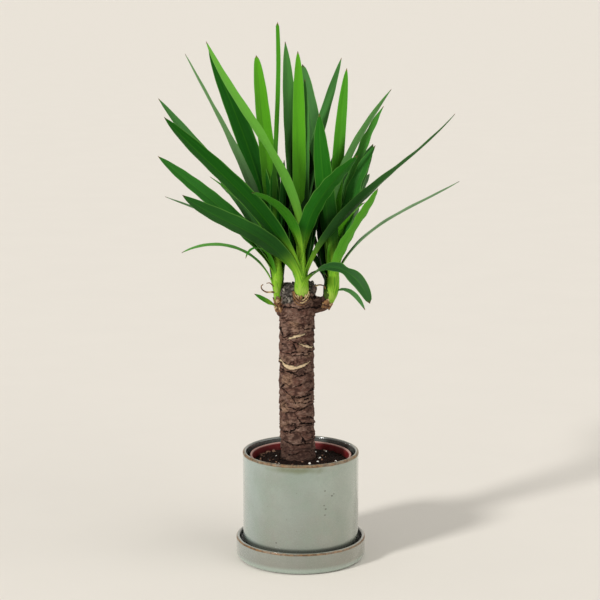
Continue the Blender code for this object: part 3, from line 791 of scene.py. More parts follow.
def curl_tree():
    """A round tapered strand along the input's line of points."""
    def fill(tree, given):
        curve = geometry(tree, "MeshToCurve", {"Mesh": given["Geometry"]})
        spline = geometry(tree, "CurveSplineType", {"Curve": curve}, spline_type="CATMULL_ROM")
        fine = geometry(tree, "ResampleCurve", {"Curve": spline, "Count": given["Rows"]})
        share = add_node(tree, "GeometryNodeSplineParameter").outputs["Factor"]
        thin = maths(tree, "SUBTRACT", 1.0, times(tree, share, 0.55))
        sized = geometry(tree, "SetCurveRadius", {
            "Curve": fine, "Radius": times(tree, thin, given["Radius"])})
        ring = geometry(tree, "CurvePrimitiveCircle", {
            "Resolution": given["Sides"], "Radius": 1.0})
        flat = geometry(tree, "Transform", {"Geometry": ring, "Scale": (1.0, 0.6, 1.0)})
        return geometry(tree, "CurveToMesh", {
            "Curve": sized, "Profile Curve": flat, "Fill Caps": True,
            "Scale": geometry(tree, "InputRadius")})
    return geometry_tree("Dried strand", {"Radius": 1 * MM, "Sides": 8, "Rows": 40}, fill)


# ------------------------------------------------------------------------------- shader node groups


def shader_group(name, inputs, outputs, fill):
    """A shader node group whose inputs and outputs are named, and whose outputs are masks."""
    return node_tree(name, "ShaderNodeTree", inputs,
                     {key: "NodeSocketFloat" for key in outputs}, fill)


def use_group(tree, group, inputs):
    return add_node(tree, "ShaderNodeGroup", inputs, node_tree=group).outputs


def between(tree, value, low, high, start=0.0, end=1.0):
    """Maps low..high to start..end, smoothly and clamped."""
    node = add_node(tree, "ShaderNodeMapRange", {
        "Value": value, "From Min": low, "From Max": high, "To Min": start, "To Max": end},
        interpolation_type="SMOOTHSTEP")
    return node.outputs["Result"]


def blend(tree, factor, first, second):
    """Mixes two colours."""
    first, second = (value if isinstance(value, bpy.types.NodeSocket)
                     else (*tuple(value)[:3], 1.0) for value in (first, second))
    return add_node(tree, "ShaderNodeMix", {0: factor, 6: first, 7: second},
                    data_type="RGBA", clamp_factor=True).outputs[2]


def layered(tree, colour, *coats):
    """Lays coats over a colour in turn. Each is a mask, how much of it counts, and a colour."""
    for mask, share, coat in coats:
        factor = mask if share == 1 else times(tree, mask, share)
        colour = blend(tree, factor, colour, coat)
    return colour


def tint(colour, *factors):
    """A colour times one factor, or times a red, a green and a blue one."""
    return tuple(c * f for c, f in zip(colour, factors if len(factors) == 3 else factors * 3))


def noise_at(tree, place, scale, detail):
    return add_node(tree, "ShaderNodeTexNoise", {
        "Vector": place, "Scale": scale, "Detail": detail}).outputs[0]


def mottle_group():
    """Soft cloudy patches."""
    def fill(tree, given, out):
        cloud = add_node(tree, "ShaderNodeTexNoise", {
            "Vector": given["Vector"], "Scale": given["Scale"], "Detail": given["Detail"],
            "Roughness": 0.6})
        feed(tree, out, {"Mask": between(tree, cloud.outputs[0], given["Low"], given["High"])})
    return shader_group("Mottle", {
        "Vector": ORIGIN, "Scale": 40.0, "Detail": 4.0, "Low": 0.4, "High": 0.6},
        ["Mask"], fill)


def clouds(tree, place, scale, detail, low, high):
    return use_group(tree, mottle_group(), {"Vector": place, "Scale": scale, "Detail": detail,
                                            "Low": low, "High": high})["Mask"]


def speck_group():
    """Small round specks, on a chosen share of the cells."""
    def fill(tree, given, out):
        cells = add_node(tree, "ShaderNodeTexVoronoi", {
            "Vector": given["Vector"], "Scale": given["Scale"], "Randomness": 1.0})
        split = add_node(tree, "ShaderNodeSeparateColor", {"Color": cells.outputs["Color"]})
        picked = maths(tree, "LESS_THAN", split.outputs[0], given["Share"])
        radius = times(tree, given["Size"], split.outputs[1])
        near = between(tree, cells.outputs["Distance"], times(tree, radius, 0.6), radius,
                       1.0, 0.0)
        feed(tree, out, {"Mask": times(tree, near, picked)})
    return shader_group("Specks", {
        "Vector": ORIGIN, "Scale": 200.0, "Size": 0.3, "Share": 0.1}, ["Mask"], fill)


def band_group():
    """A band round Z at a height, with a wandering edge."""
    def fill(tree, given, out):
        cloud = noise_at(tree, given["Vector"], given["Scale"], 3.0)
        wander = times(tree, maths(tree, "SUBTRACT", cloud, 0.5), given["Wander"])
        height = maths(tree, "ADD", axes(tree, given["Vector"])[2], wander)
        away = maths(tree, "ABSOLUTE", maths(tree, "SUBTRACT", height, given["Height"]))
        feed(tree, out, {"Mask": between(
            tree, away, times(tree, given["Half width"], 0.45), given["Half width"],
            1.0, 0.0)})
    return shader_group("Band", {
        "Vector": ORIGIN, "Height": 0.1, "Half width": 2 * MM, "Wander": 2 * MM,
        "Scale": 60.0}, ["Mask"], fill)


def patch_group():
    """A rounded patch about a place, with a ragged edge."""
    def fill(tree, given, out):
        away = vector_maths(tree, "SUBTRACT", given["Vector"], given["Middle"])
        shares = vector_maths(tree, "DIVIDE", away, given["Reach"])
        cloud = noise_at(tree, given["Vector"], given["Scale"], 3.0)
        ragged = maths(tree, "MULTIPLY_ADD", maths(tree, "SUBTRACT", cloud, 0.5),
                       given["Wander"], vector_maths(tree, "LENGTH", shares))
        feed(tree, out, {"Mask": between(tree, ragged, given["Solid"], 1.0, 1.0, 0.0)})
    return shader_group("Patch", {
        "Vector": ORIGIN, "Middle": ORIGIN, "Reach": (0.01, 0.01, 0.01), "Solid": 0.5,
        "Wander": 0.5, "Scale": 100.0}, ["Mask"], fill)


def patch(tree, place, middle, reach, solid, scale):
    return use_group(tree, patch_group(), {
        "Vector": place, "Middle": middle, "Reach": reach, "Solid": solid, "Wander": 0.9,
        "Scale": scale})["Mask"]


def new_material(name, roughness=0.5, specular=0.5):
    """A material, its Principled shader's inputs, and the object coordinates for its patterns."""
    material = bpy.data.materials.new(name)
    material.use_nodes = True
    tree = material.node_tree
    shader = tree.nodes["Principled BSDF"].inputs
    shader["Roughness"].default_value = roughness
    shader["Specular IOR Level"].default_value = specular
    place = add_node(tree, "ShaderNodeTexCoord").outputs["Object"]
    return material, tree, shader, place


def bump(tree, height, strength, distance, under=None):
    """A Bump node's normal, laid over another where one is given."""
    inputs = {"Height": height, "Strength": strength, "Distance": distance}
    if under is not None:
        inputs["Normal"] = under
    return add_node(tree, "ShaderNodeBump", inputs).outputs[0]


def stored(tree, name):
    return add_node(tree, "ShaderNodeAttribute", attribute_name=name).outputs["Fac"]


def glaze_material(name, main, pots, radius, wall, top, low):
    """Reduction-fired glaze: cloudy, iron-specked, and brown where it breaks on the lip."""
    foot, painted_foot_light, break_half, pool, spots = GLAZE_DETAILS[name]
    material, tree, shader, place = new_material(name)
    across, _, height = axes(tree, place)
    reach = vector_maths(tree, "LENGTH",
                         vector_maths(tree, "MULTIPLY", place, (1.0, 1.0, 0.0)))

    def mottle(scale, detail, start, end):
        return clouds(tree, place, scale, detail, start, end)

    warm = times(tree, mottle(16.0, 5.0, 0.35, 0.68), 0.45)
    down = between(tree, height, low, top, 0.65, 0.0)
    # Painted highlight on the right, painted shade down the middle, painted reflection on the left.
    right = between(tree, across, -0.2 * radius, 0.8 * radius, 0.0, 0.5)
    middle = between(tree, maths(tree, "ABSOLUTE", across), 0.0, 0.6 * radius, 0.35, 0.0)
    left = between(tree, across, -0.45 * radius, -radius, 0.0, 0.6)
    grain = mottle(360.0, 4.0, 0.35, 0.72)
    specks = use_group(tree, speck_group(), {
        "Vector": place, "Scale": 170.0, "Size": 0.16, "Share": 0.16})["Mask"]
    colour = layered(
        tree, main,
        (maths(tree, "ADD", warm, down), 1, pots.glaze_grey),
        # Painted highlight, shade and reflection across the glaze.
        (right, 1, tint(main, 1.16, 1.06, 1.01)),
        (middle, 1, tint(main, 0.72)),
        (left, 1, tint(main, 1.02, 1.10, 1.22)),
        (mottle(34.0, 6.0, 0.42, 0.7), 0.32, tint(main, 0.70, 0.82, 0.72)),
        (grain, 0.34, tint(main, 0.6)),
        (specks, 0.45, (0.09, 0.06, 0.045)))
    if pool:
        # Where the glaze has run together under the lip it is greener.
        pooled = patch(tree, place, (-0.08 * radius, -radius, top - 6.5 * MM),
                       (0.66 * radius, 0.5 * radius, 7.0 * MM), 0.15, 75.0)
        colour = layered(tree, colour, (pooled, 0.92, pool))
    for x, z, size in spots:
        x, z, size = x * MM, z * MM, size * MM
        spot = patch(tree, place, (x, -math.sqrt(radius ** 2 - x ** 2), z),
                     (size, size, size * 0.8), 0.35, 900.0)
        colour = layered(tree, colour, (spot, 0.8, (0.04, 0.03, 0.022)))
    # Painted shade on the planter where it stands in its saucer, a painted highlight on the
    # saucer's foot.
    edge = between(tree, height, low, low + foot, 0.8, 0.0)
    # Painted shade on the inner wall, down inside the pot.
    inside = between(tree, reach, radius - 0.55 * wall, radius - 0.85 * wall)
    band = use_group(tree, band_group(), {
        "Vector": place, "Height": top - 1.6 * MM, "Half width": break_half,
        "Wander": 1.2 * MM, "Scale": 110.0})["Mask"]
    outer = between(tree, reach, radius - 3.2 * MM, radius - 2.0 * MM)
    strength = maths(tree, "MULTIPLY_ADD", mottle(60.0, 4.0, 0.38, 0.6), 0.25, 0.72)
    broken = times(tree, times(tree, band, outer), strength)
    burnt = blend(tree, mottle(240.0, 3.0, 0.4, 0.65), pots.rim_brown,
                  tint(pots.rim_brown, 0.35))
    # The foot's painted light, the inside's painted shade, then the brown break on the lip.
    colour = layered(tree, colour, (edge, 1, painted_foot_light), (inside, 0.88, (0.060, 0.063, 0.060)),
                     (broken, 1, burnt))
    matt = between(tree, broken, 0.0, 0.5, 0.0, 0.45)
    normal = bump(tree, noise_at(tree, place, 55.0, 2.0), 0.35, 0.6 * MM)
    feed(tree, shader, {
        "Base Color": colour,
        "Roughness": maths(tree, "MAXIMUM", between(tree, grain, 0.0, 1.0, 0.20, 0.30), matt),
        "Coat Weight": between(tree, broken, 0.0, 0.5, 1.0, 0.15),
        "Coat Roughness": 0.08,
        "Normal": bump(tree, noise_at(tree, place, 600.0, 2.0), 0.12, 0.15 * MM, normal)})
    return material


def plastic_material(colour):
    """Thin terracotta plastic, faint moulding rings and scuffs, a paler rim, painted shade below.
    """
    material, tree, shader, place = new_material("terracotta_plastic", specular=0.08)
    height = axes(tree, place)[2]
    scuffs = clouds(tree, place, 90.0, 6.0, 0.42, 0.66)
    rim = between(tree, height, *NURSERY_PALE_RIM)
    rim_paleness = maths(tree, "MAXIMUM", times(tree, scuffs, 0.05), times(tree, rim, 0.85))
    # Painted shade on the wall below the rim, down towards the soil.
    painted_shade = between(tree, height, *NURSERY_SHADED, 0.7, 0.0)
    rings = add_node(tree, "ShaderNodeTexWave", {
        "Vector": place, "Scale": 160.0, "Distortion": 0.4}, bands_direction="Z")
    feed(tree, shader, {
        "Base Color": layered(tree, colour, (painted_shade, 1, tint(colour, 0.25)),
                              (rim_paleness, 1, (0.50, 0.31, 0.27))),
        "Roughness": between(tree, scuffs, 0.0, 1.0, 0.42, 0.60),
        "Normal": bump(tree, rings.outputs["Fac"], 0.25, 0.2 * MM)})
    return material


def soil_material(colour):
    """Near-black moist peat with brown fibres."""
    material, tree, shader, place = new_material("potting_soil", 0.95, 0.08)
    clumps = clouds(tree, place, 260.0, 8.0, 0.35, 0.7)
    feed(tree, shader, {
        "Base Color": blend(tree, clumps, colour, tint(colour, 3.4, 2.6, 2.2)),
        "Roughness": between(tree, clumps, 0.0, 1.0, 0.75, 1.0),
        "Normal": bump(tree, noise_at(tree, place, 900.0, 6.0), 0.9, 0.8 * MM)})
    return material


def grained_material(name, roughness, grain, first, second, strength, depth):
    """Small bits of two colours, in a grain that is also their relief."""
    material, tree, shader, place = new_material(name, roughness)
    mask = clouds(tree, place, *grain)
    feed(tree, shader, {"Base Color": blend(tree, mask, first, second),
                        "Normal": bump(tree, mask, strength, depth)})
    return material


def perlite_material():
    """White puffed grains with fine pores."""
    return grained_material("perlite", 0.85, (1400.0, 4.0, 0.4, 0.6), (0.62, 0.58, 0.50),
                            (0.86, 0.85, 0.81), 0.6, 0.3 * MM)


def chip_material(colour):
    """Chips of composted bark, layered brown."""
    return grained_material("bark_chips", 0.8, (420.0, 5.0, 0.35, 0.65), colour,
                            tint(colour, 2.6, 2.8, 3.0), 0.7, 0.4 * MM)


def bark_material(cane):
    """Grey-brown bark: fibrous, dark in cracks, painted shadow under ledges, cream where torn."""
    material, tree, shader, place = new_material("yucca_bark", 0.85, 0.12)
    across, _, height = axes(tree, place)

    def flattened(tall):
        """The place, drawn out upwards, so that a pattern on it is flattened."""
        return add_node(tree, "ShaderNodeMapping", {
            "Vector": place, "Scale": (1.0, 1.0, tall)}).outputs[0]

    fibres = clouds(tree, flattened(6.0), 180.0, 8.0, 0.3, 0.72)
    specks = maths(tree, "MULTIPLY_ADD",
                   clouds(tree, flattened(2.2), 520.0, 4.0, 0.5, 0.68), 0.6, 0.15)
    # Painted shade down the right side of the cane, away from the key light.
    painted_shade = between(tree, across, -4 * MM, 17 * MM, 0.0, 0.35)
    # Darker towards the soil.
    low_darkening = between(tree, height, *LOW_DARK_BARK, 0.65, 0.0)
    crack = between(tree, stored(tree, "crack"), 0.08, 0.62)
    charred = layered(
        tree, (0.145, 0.132, 0.114),
        (clouds(tree, place, 170.0, 4.0, 0.46, 0.68), 1, (0.46, 0.415, 0.35)),
        (crack, 0.70, (0.010, 0.008, 0.007)))
    wood = layered(
        tree, cane.torn,
        (clouds(tree, flattened(9.0), 210.0, 5.0, 0.35, 0.7), 0.7, tint(cane.torn, 0.5)))
    colour = layered(
        tree, cane.bark,
        (clouds(tree, flattened(3.2), 38.0, 6.0, 0.38, 0.66), 1, cane.bark_grey),
        (fibres, 0.55, tint(cane.bark, 0.42)),
        # Tan patches, and painted highlights on the lit left side.
        (stored(tree, "tan"), 0.65, (0.33, 0.20, 0.125)),
        # Pale flecks, with painted highlights on ridges and lips.
        (times(tree, stored(tree, "fleck"), specks), 1, (0.44, 0.32, 0.25)),
        (clouds(tree, flattened(2.2), 260.0, 3.0, 0.44, 0.60), 0.5, (0.050, 0.023, 0.017)),
        # Painted shade on the right side, and darker towards the soil.
        (maths(tree, "MAXIMUM", painted_shade, low_darkening), 1, (0.040, 0.019, 0.015)),
        # Painted shade in the hollows, and the dark stub.
        (stored(tree, "hollow"), 0.8, (0.045, 0.022, 0.017)),
        # Real cracks, with painted shadow under the ledges.
        (crack, 1, cane.crack),
        (stored(tree, "char"), 0.9, charred),
        (stored(tree, "torn"), 1, wood))
    normal = bump(tree, fibres, 0.9, 1.1 * MM)
    grain = noise_at(tree, flattened(6.0), 700.0, 4.0)
    feed(tree, shader, {
        "Base Color": colour,
        "Roughness": between(tree, fibres, 0.0, 1.0, 0.72, 0.95),
        "Normal": bump(tree, grain, 0.5, 0.35 * MM, normal)})
    return material


def vein_group():
    """Fine parallel veins across a leaf's UV, broken up along it, and its yellow margins."""
    def fill(tree, given, out):
        across, along, _ = axes(tree, given["UV"])
        lines = maths(tree, "SINE", times(tree, across, given["Count"]))
        where = vector(tree, times(tree, across, given["Streaks"]), times(tree, along, 3.0),
                       given["Number"])
        streaks = add_node(tree, "ShaderNodeTexNoise", {
            "Vector": where, "Scale": 1.0, "Detail": 4.0, "Roughness": 0.65})
        margin = maths(tree, "ABSOLUTE", maths(tree, "SUBTRACT", across, 0.5))
        feed(tree, out, {
            "Veins": maths(tree, "MULTIPLY_ADD", lines, 0.5, 0.5),
            "Streaks": streaks.outputs[0],
            "Margin": between(tree, margin, 0.44, 0.495),
            "Midrib": between(tree, margin, 0.0, 0.05, 1.0, 0.0)})
    return shader_group("Leaf veins", {
        "UV": ORIGIN, "Count": 110.0, "Streaks": 14.0, "Number": 0.0},
        ["Veins", "Streaks", "Margin", "Midrib"], fill)


def leaf_material(leaf):
    """Waxy sword leaf: lime at its base, then darker, with parallel veins and a dry brown tip."""
    material, tree, shader, place = new_material("yucca_leaf", specular=0.05)
    uv = add_node(tree, "ShaderNodeUVMap", uv_map="leaf").outputs[0]
    veins = use_group(tree, vein_group(), {
        "UV": uv, "Count": 130.0, "Streaks": 11.0, "Number": stored(tree, "number")})
    streaks, margin = veins["Streaks"], veins["Margin"]
    tone = maths(tree, "ADD", stored(tree, "tone"),
                 maths(tree, "MULTIPLY_ADD", streaks, 0.40, -0.20))
    tone = maths(tree, "ADD", tone, times(tree, stored(tree, "under"), 0.12), clamped=True)
    ramp = add_node(tree, "ShaderNodeValToRGB", {0: tone})
    stops = ramp.color_ramp.elements
    stops[0].color = (*leaf.dark, 1)
    stops[1].color = (*leaf.light, 1)
    stops.new(0.45).color = (*leaf.middle, 1)
    lime = layered(tree, leaf.lime, (between(tree, streaks, 0.40, 0.66), 1, (0.10, 0.28, 0.015)),
                   (margin, 0.7, (0.05, 0.16, 0.01)))
    brown = blend(tree, clouds(tree, place, 300.0, 4.0, 0.4, 0.62), (0.20, 0.11, 0.045),
                  (0.05, 0.025, 0.013))
    colour = layered(
        tree, ramp.outputs[0],
        # Blue waxy bloom, with painted sheen on the same leaves.
        (stored(tree, "bloom"), 0.45, leaf.bloom),
        (veins["Veins"], 0.15, tint(leaf.dark, 0.45)),
        # Paler margins: partly the leaf's own edge, partly a painted highlight where thin edges
        # catch light.
        (margin, 0.50, (0.17, 0.42, 0.07)),
        (veins["Midrib"], 0.10, leaf.light),
        (stored(tree, "base"), 1, lime),
        (stored(tree, "cream"), 1, (0.42, 0.52, 0.12)),
        # Painted shade in the depth of the crown.
        (stored(tree, "shade"), 0.75, (0.003, 0.012, 0.002)),
        (stored(tree, "dry"), 1, brown))
    normal = bump(tree, veins["Veins"], 0.22, 0.25 * MM)
    feed(tree, shader, {
        "Base Color": colour,
        "Roughness": between(tree, streaks, 0.3, 0.7, 0.36, 0.50),
        "Normal": bump(tree, streaks, 0.25, 0.5 * MM, normal)})
    return material


def husk_material():
    """Papery dead leaf bases: tan to dark brown, ribbed along."""
    material, tree, shader, place = new_material("dry_husk", 0.7, 0.15)
    colour = layered(
        tree, (0.27, 0.14, 0.06),
        (clouds(tree, place, 210.0, 5.0, 0.36, 0.66), 1, (0.035, 0.015, 0.010)),
        (clouds(tree, place, 140.0, 3.0, 0.54, 0.62), 0.75, (0.58, 0.45, 0.24)))
    feed(tree, shader, {
        "Base Color": colour,
        "Normal": bump(tree, noise_at(tree, place, 800.0, 3.0), 0.5, 0.4 * MM)})
    return material


# --------------------------------------------------------------------------------------------- pots


def saucer_profile(pots):
    """The saucer's section, from the middle of its floor over its lip to its underside."""
    radius, height = pots.saucer_radius, SAUCER_TOP
    inner = radius - pots.saucer_wall
    lip = pots.saucer_wall / 2
    fillet, edge = 5 * MM, 7 * MM
    return [
        (0, SAUCER_FLOOR), (inner * 0.35, SAUCER_FLOOR), (inner * 0.7, SAUCER_FLOOR),
        *arc(inner - fillet, SAUCER_FLOOR + fillet, fillet, fillet, -90, 0, 10),
        *arc(inner + lip, height - lip, lip, lip, 180, 0, 16),
        (radius + 0.12 * MM, height * 0.62), (radius, height * 0.45),
        *arc(radius - edge, edge, edge, edge, 0, -90, 14),
        (radius * 0.5, 0), (0, 0)]


def planter_profile(pots):
    """The planter's section, from its drain hole over its lip and turned-in foot back to it."""
    radius, top = pots.planter_radius, PLANTER_TOP
    inner = radius - pots.planter_wall
    lip = pots.planter_wall / 2
    floor, underside, recess = PLANTER_FLOOR, PLANTER_UNDERSIDE, PLANTER_RECESS
    fillet, foot, turn_height, drain = 8 * MM, 60.5 * MM, 36 * MM, 7 * MM
    inside = foot - 6 * MM
    return [
        (drain, floor), (drain + 20 * MM, floor),
        *arc(inner - fillet - 1 * MM, floor + fillet, fillet, fillet, -90, -20, 8),
        (inner, turn_height), (inner, 80 * MM),
        *arc(inner + lip, top - lip, lip, lip, 180, 0, 16),
        (radius, 120 * MM), (radius, 90 * MM), (radius, 60 * MM),
        *arc(foot, turn_height, radius - foot, turn_height - underside, 0, -90, 20),
        (inside, underside), (inside - FOOT_RECESS, recess), (drain + 15 * MM, recess),
        (drain, recess), (drain, floor)]


def nursery_inner_radius(height, wall):
    floor = NURSERY_UNDERSIDE + wall
    low = NURSERY_BASE_RADIUS - wall
    share = (height - floor) / (NURSERY_TOP - floor)
    return low + (NURSERY_MOUTH_RADIUS - low) * share


def nursery_profile(pots):
    """The nursery pot's section: its thin flared wall, and the lip turned over at the top."""
    wall = pots.nursery_wall
    top, rim, underside = NURSERY_TOP, NURSERY_RIM, NURSERY_UNDERSIDE
    floor = underside + wall
    low = top - NURSERY_LIP
    bend = 1 * MM

    def inner(height):
        return nursery_inner_radius(height, wall)

    return [
        (0, floor), (20 * MM, floor), (40 * MM, floor), (inner(floor), floor),
        *((inner(z), z) for z in (60 * MM, 90 * MM, 110 * MM, top - 3 * bend)),
        (NURSERY_MOUTH_RADIUS + 0.2 * bend, top - 1.4 * bend),
        (NURSERY_MOUTH_RADIUS + 0.9 * bend, top - 0.4 * bend),
        (NURSERY_MOUTH_RADIUS + 1.8 * bend, top), (rim - 1.0 * bend, top),
        (rim - 0.3 * bend, top - 0.3 * bend), (rim, top - 1.0 * bend),
        (rim - 0.2 * bend, low + 0.3 * bend), (rim - 0.6 * bend, low),
        (inner(low) + wall, low - 0.4 * bend),
        *((inner(z) + wall, z) for z in (100 * MM, 60 * MM)),
        (NURSERY_BASE_RADIUS, underside + bend), (NURSERY_BASE_RADIUS - bend, underside),
        (40 * MM, underside), (20 * MM, underside), (0, underside)]


def drilled(mesh, name, places, radius, depth):
    """Takes plain round upright holes through a mesh."""
    cutters = bpy.data.collections.new(f"{name}_holes")
    bpy.context.scene.collection.children.link(cutters)
    for i, place in enumerate(places):
        shape = bmesh.new()
        bmesh.ops.create_cone(shape, cap_ends=True, segments=32, radius1=radius, radius2=radius,
                              depth=depth, matrix=Matrix.Translation(place))
        hole = mesh_of(f"{name}_hole_{i + 1}", shape)
        cutters.objects.link(bpy.data.objects.new(hole.name, hole))
    result = modified_mesh(mesh, name, "BOOLEAN", operation="DIFFERENCE", solver="EXACT",
                           operand_type="COLLECTION", collection=cutters)
    for cutter in list(cutters.objects):
        bpy.data.objects.remove(cutter)
    bpy.data.collections.remove(cutters)
    return result


# --------------------------------------------------------------------------------------------- soil


def soil_height(radius, wall):
    edge = nursery_inner_radius(SOIL_EDGE_HEIGHT, wall)
    return SOIL_EDGE_HEIGHT + SOIL_MOUND * math.cos(min(radius / edge, 1.0) * math.pi / 2)


def soil_shift(radius):
    """How far the soil's rings slide over, so that the hole is where the cane stands."""
    hole = CANE_RADIUS + SOIL_HOLE_GAP
    return CANE_X * clamp((SOIL_SHIFT_EDGE - radius) / (SOIL_SHIFT_EDGE - hole))


def soil_surface(wall, rings, steps, low_ring=0):
    """Places on the top of the soil, ring by ring from the cane outwards, gently uneven."""
    edge = nursery_inner_radius(SOIL_EDGE_HEIGHT, wall) - SEAT_GAP
    places = []
    for i in range(low_ring, rings + 1):
        radius = SOIL_START + (edge - SOIL_START) * i / rings
        shift, height = soil_shift(radius), soil_height(radius, wall)
        fade = clamp((edge - radius) / (3 * MM))
        for x, y, _ in circle(radius, 0, steps):
            uneven = noise.fractal(Vector((x, y, 0)) * 110, 1.0, 2.0, 4) * 0.9 * MM
            places.append((x + shift, y, height + uneven * fade))
    return places


def soil_mesh(wall):
    """The soil's whole body, from the hole that the cane stands in to the nursery pot's wall."""
    rings, steps = 60, 180
    places = soil_surface(wall, rings, steps)
    floor = PLANTER_FLOOR + 2 * SEAT_GAP + wall
    outer = nursery_inner_radius(floor, wall) - SEAT_GAP
    rows = [circle(SOIL_START, CANE_FOOT - SEAT_GAP, steps, CANE_X)]
    rows += [places[i * steps:(i + 1) * steps] for i in range(rings + 1)]
    rows.append(circle(outer, floor, steps))
    return rows_mesh("soil", rows)


def soil_top_mesh(wall):
    """The soil's top, as an open sheet to scatter on, clear of the cane and the pot."""
    rings, steps, low_ring = 30, 120, 2
    places = soil_surface(wall, rings, steps, low_ring)
    return new_mesh("soil_top", places, ring_faces(rings - low_ring, steps))


def rows_mesh(name, rows):
    """Joins rings of the same count into a skin, closed at both ends."""
    steps = len(rows[0])
    last = (len(rows) - 1) * steps
    faces = ring_faces(len(rows), steps)
    faces.append(tuple(range(steps)))
    faces.append(tuple(last + j for j in reversed(range(steps))))
    return close_mesh(new_mesh(name, [place for row in rows for place in row], faces))


# --------------------------------------------------------------------------------------------- cane


def lean_vector(lean, azimuth):
    lean, azimuth = math.radians(lean), math.radians(azimuth)
    flat = math.sin(lean)
    return Vector((flat * math.cos(azimuth), flat * math.sin(azimuth), math.cos(lean)))


def shoot_axis_point(shoot, height):
    start, lean, azimuth = shoot["axis"]
    return Vector(start) * MM + lean_vector(lean, azimuth) * height


def seat_of(shoot):
    """The middle of the flat that a shoot stands on, and the way that it faces."""
    return Vector(shoot["seat"]) * MM, Vector(shoot["facing"]).normalized()


def stem_route(shoot, start):
    """Middle line and radii of a shoot's stem, begun start metres off the flat it stands on."""
    seat, facing = seat_of(shoot)
    foot_radius = shoot["collar"][2] * MM
    route = [seat + facing * start, seat + facing * STEM_STRAIGHT]
    radii = [foot_radius, foot_radius]
    for height, radius in shoot["stem"]:
        route.append(shoot_axis_point(shoot, height * MM))
        radii.append(radius * MM)
    return route, radii


def fine_route(route, radii, step):
    """A smooth finer line through a route's points, with the radius at each place."""
    places = np.array([tuple(p) for p in route])
    radii = np.array(radii)
    gaps = np.linalg.norm(np.diff(places, axis=0), axis=1)
    along = np.concatenate([[0], np.cumsum(gaps)])
    count = max(int(along[-1] / step), 6)
    at = np.linspace(0, along[-1], count)
    line = np.stack([np.interp(at, along, places[:, k]) for k in range(3)], axis=1)
    radius = np.interp(at, along, radii)
    for _ in range(4):
        line[1:-1] = (line[:-2] + 2 * line[1:-1] + line[2:]) / 4
        radius[1:-1] = (radius[:-2] + 2 * radius[1:-1] + radius[2:]) / 4
    return line, radius


def tube_mesh(name, line, radius, sides, relief=None):
    """A round skin along a line, closed at both ends."""
    rows = []
    tangents = np.gradient(line, axis=0)
    across = Vector((0, -1, 0))
    for i, (place, size) in enumerate(zip(line, radius)):
        along = Vector(tangents[i]).normalized()
        across = (across - along * across.dot(along)).normalized()
        other = along.cross(across)
        ring = []
        for j in range(sides):
            angle = TAU * j / sides
            way = across * math.cos(angle) + other * math.sin(angle)
            ring.append(Vector(place) + way * (size + (relief(angle, i) if relief else 0.0)))
        rows.append(ring)
    return rows_mesh(name, rows)


def bar_mesh():
    """The cane as a plain bar, bowed, with its sawn and worn top, before any bark is put on it."""
    sides, top_rings = 72, 10
    rows = []
    for height in np.linspace(CANE_FOOT, CANE_TOP, 130):
        bow = 0.0
        if height > BARK_LOW:
            bow = -CANE_BOW * math.sin(math.pi * (height - BARK_LOW) / (CANE_TOP - BARK_LOW))
        rim = CANE_TOP - height < 0.1 * MM
        size = CANE_RADIUS * (TOP_RIM_SHRINK if rim else 1.0)
        drop = TOP_RIM_DROP if rim else 0.0
        rows.append(circle(size, height - drop, sides, CANE_X + bow))
    for k in range(top_rings, 0, -1):
        size = CANE_RADIUS * TOP_RIM_SHRINK * k / (top_rings + 1)
        ring = []
        for x, y, height in circle(size, CANE_TOP, sides):
            for lump_x, lump_y, spread, rise in TOP_LUMPS:
                away = math.hypot(x / MM - lump_x, y / MM - lump_y)
                height += rise * MM * math.exp(-((away / spread) ** 2))
            ring.append((x + CANE_X, y, height))
        rows.append(ring)
    return rows_mesh("bar", rows)


def crust_mesh():
    """Lumps of charred pith and torn fibre, which the remesh grows into the cane."""
    shape = bmesh.new()
    for middle, radii in CRUST_LUMPS:
        place = Matrix.Translation(Vector(middle) * MM)
        size = Matrix.Diagonal((*(Vector(radii) * MM), 1))
        bmesh.ops.create_icosphere(shape, subdivisions=2, radius=1, matrix=place @ size)
    return mesh_of("crust", shape)


def joined_mesh(name, meshes):
    shape = bmesh.new()
    for mesh in meshes:
        shape.from_mesh(mesh)
    return mesh_of(name, shape)


def line_distance(x, z, route):
    """Distance of every (x, z) from a route of points, in metres, and the share along it."""
    best = np.full(len(x), 1e9)
    share = np.zeros(len(x))
    count = len(route) - 1
    for i in range(count):
        (ax, az), (bx, bz) = route[i], route[i + 1]
        ax, az, bx, bz = ax * MM, az * MM, bx * MM, bz * MM
        length = (bx - ax) ** 2 + (bz - az) ** 2
        t = np.clip(((x - ax) * (bx - ax) + (z - az) * (bz - az)) / length, 0, 1)
        away = np.hypot(x - ax - t * (bx - ax), z - az - t * (bz - az))
        nearer = away < best
        best[nearer] = away[nearer]
        share[nearer] = ((i + t) / count)[nearer]
    return best, share


def random_of(*numbers):
    """A repeatable random number from 0 to 1 for whole numbers."""
    total = np.zeros_like(np.asarray(numbers[0], dtype=float))
    for i, number in enumerate(numbers):
        total = total + np.asarray(number, dtype=float) * (12.9898 + 65.233 * i)
    return np.abs(np.sin(total) * 43758.5453) % 1.0


def spot_distance(x, z, spot):
    """How far each place is from a spot, in shares of the spot's own reach in x and z."""
    spot_x, spot_z, reach_x, reach_z = spot
    return np.hypot((x / MM - spot_x) / reach_x, (z / MM - spot_z) / reach_z)


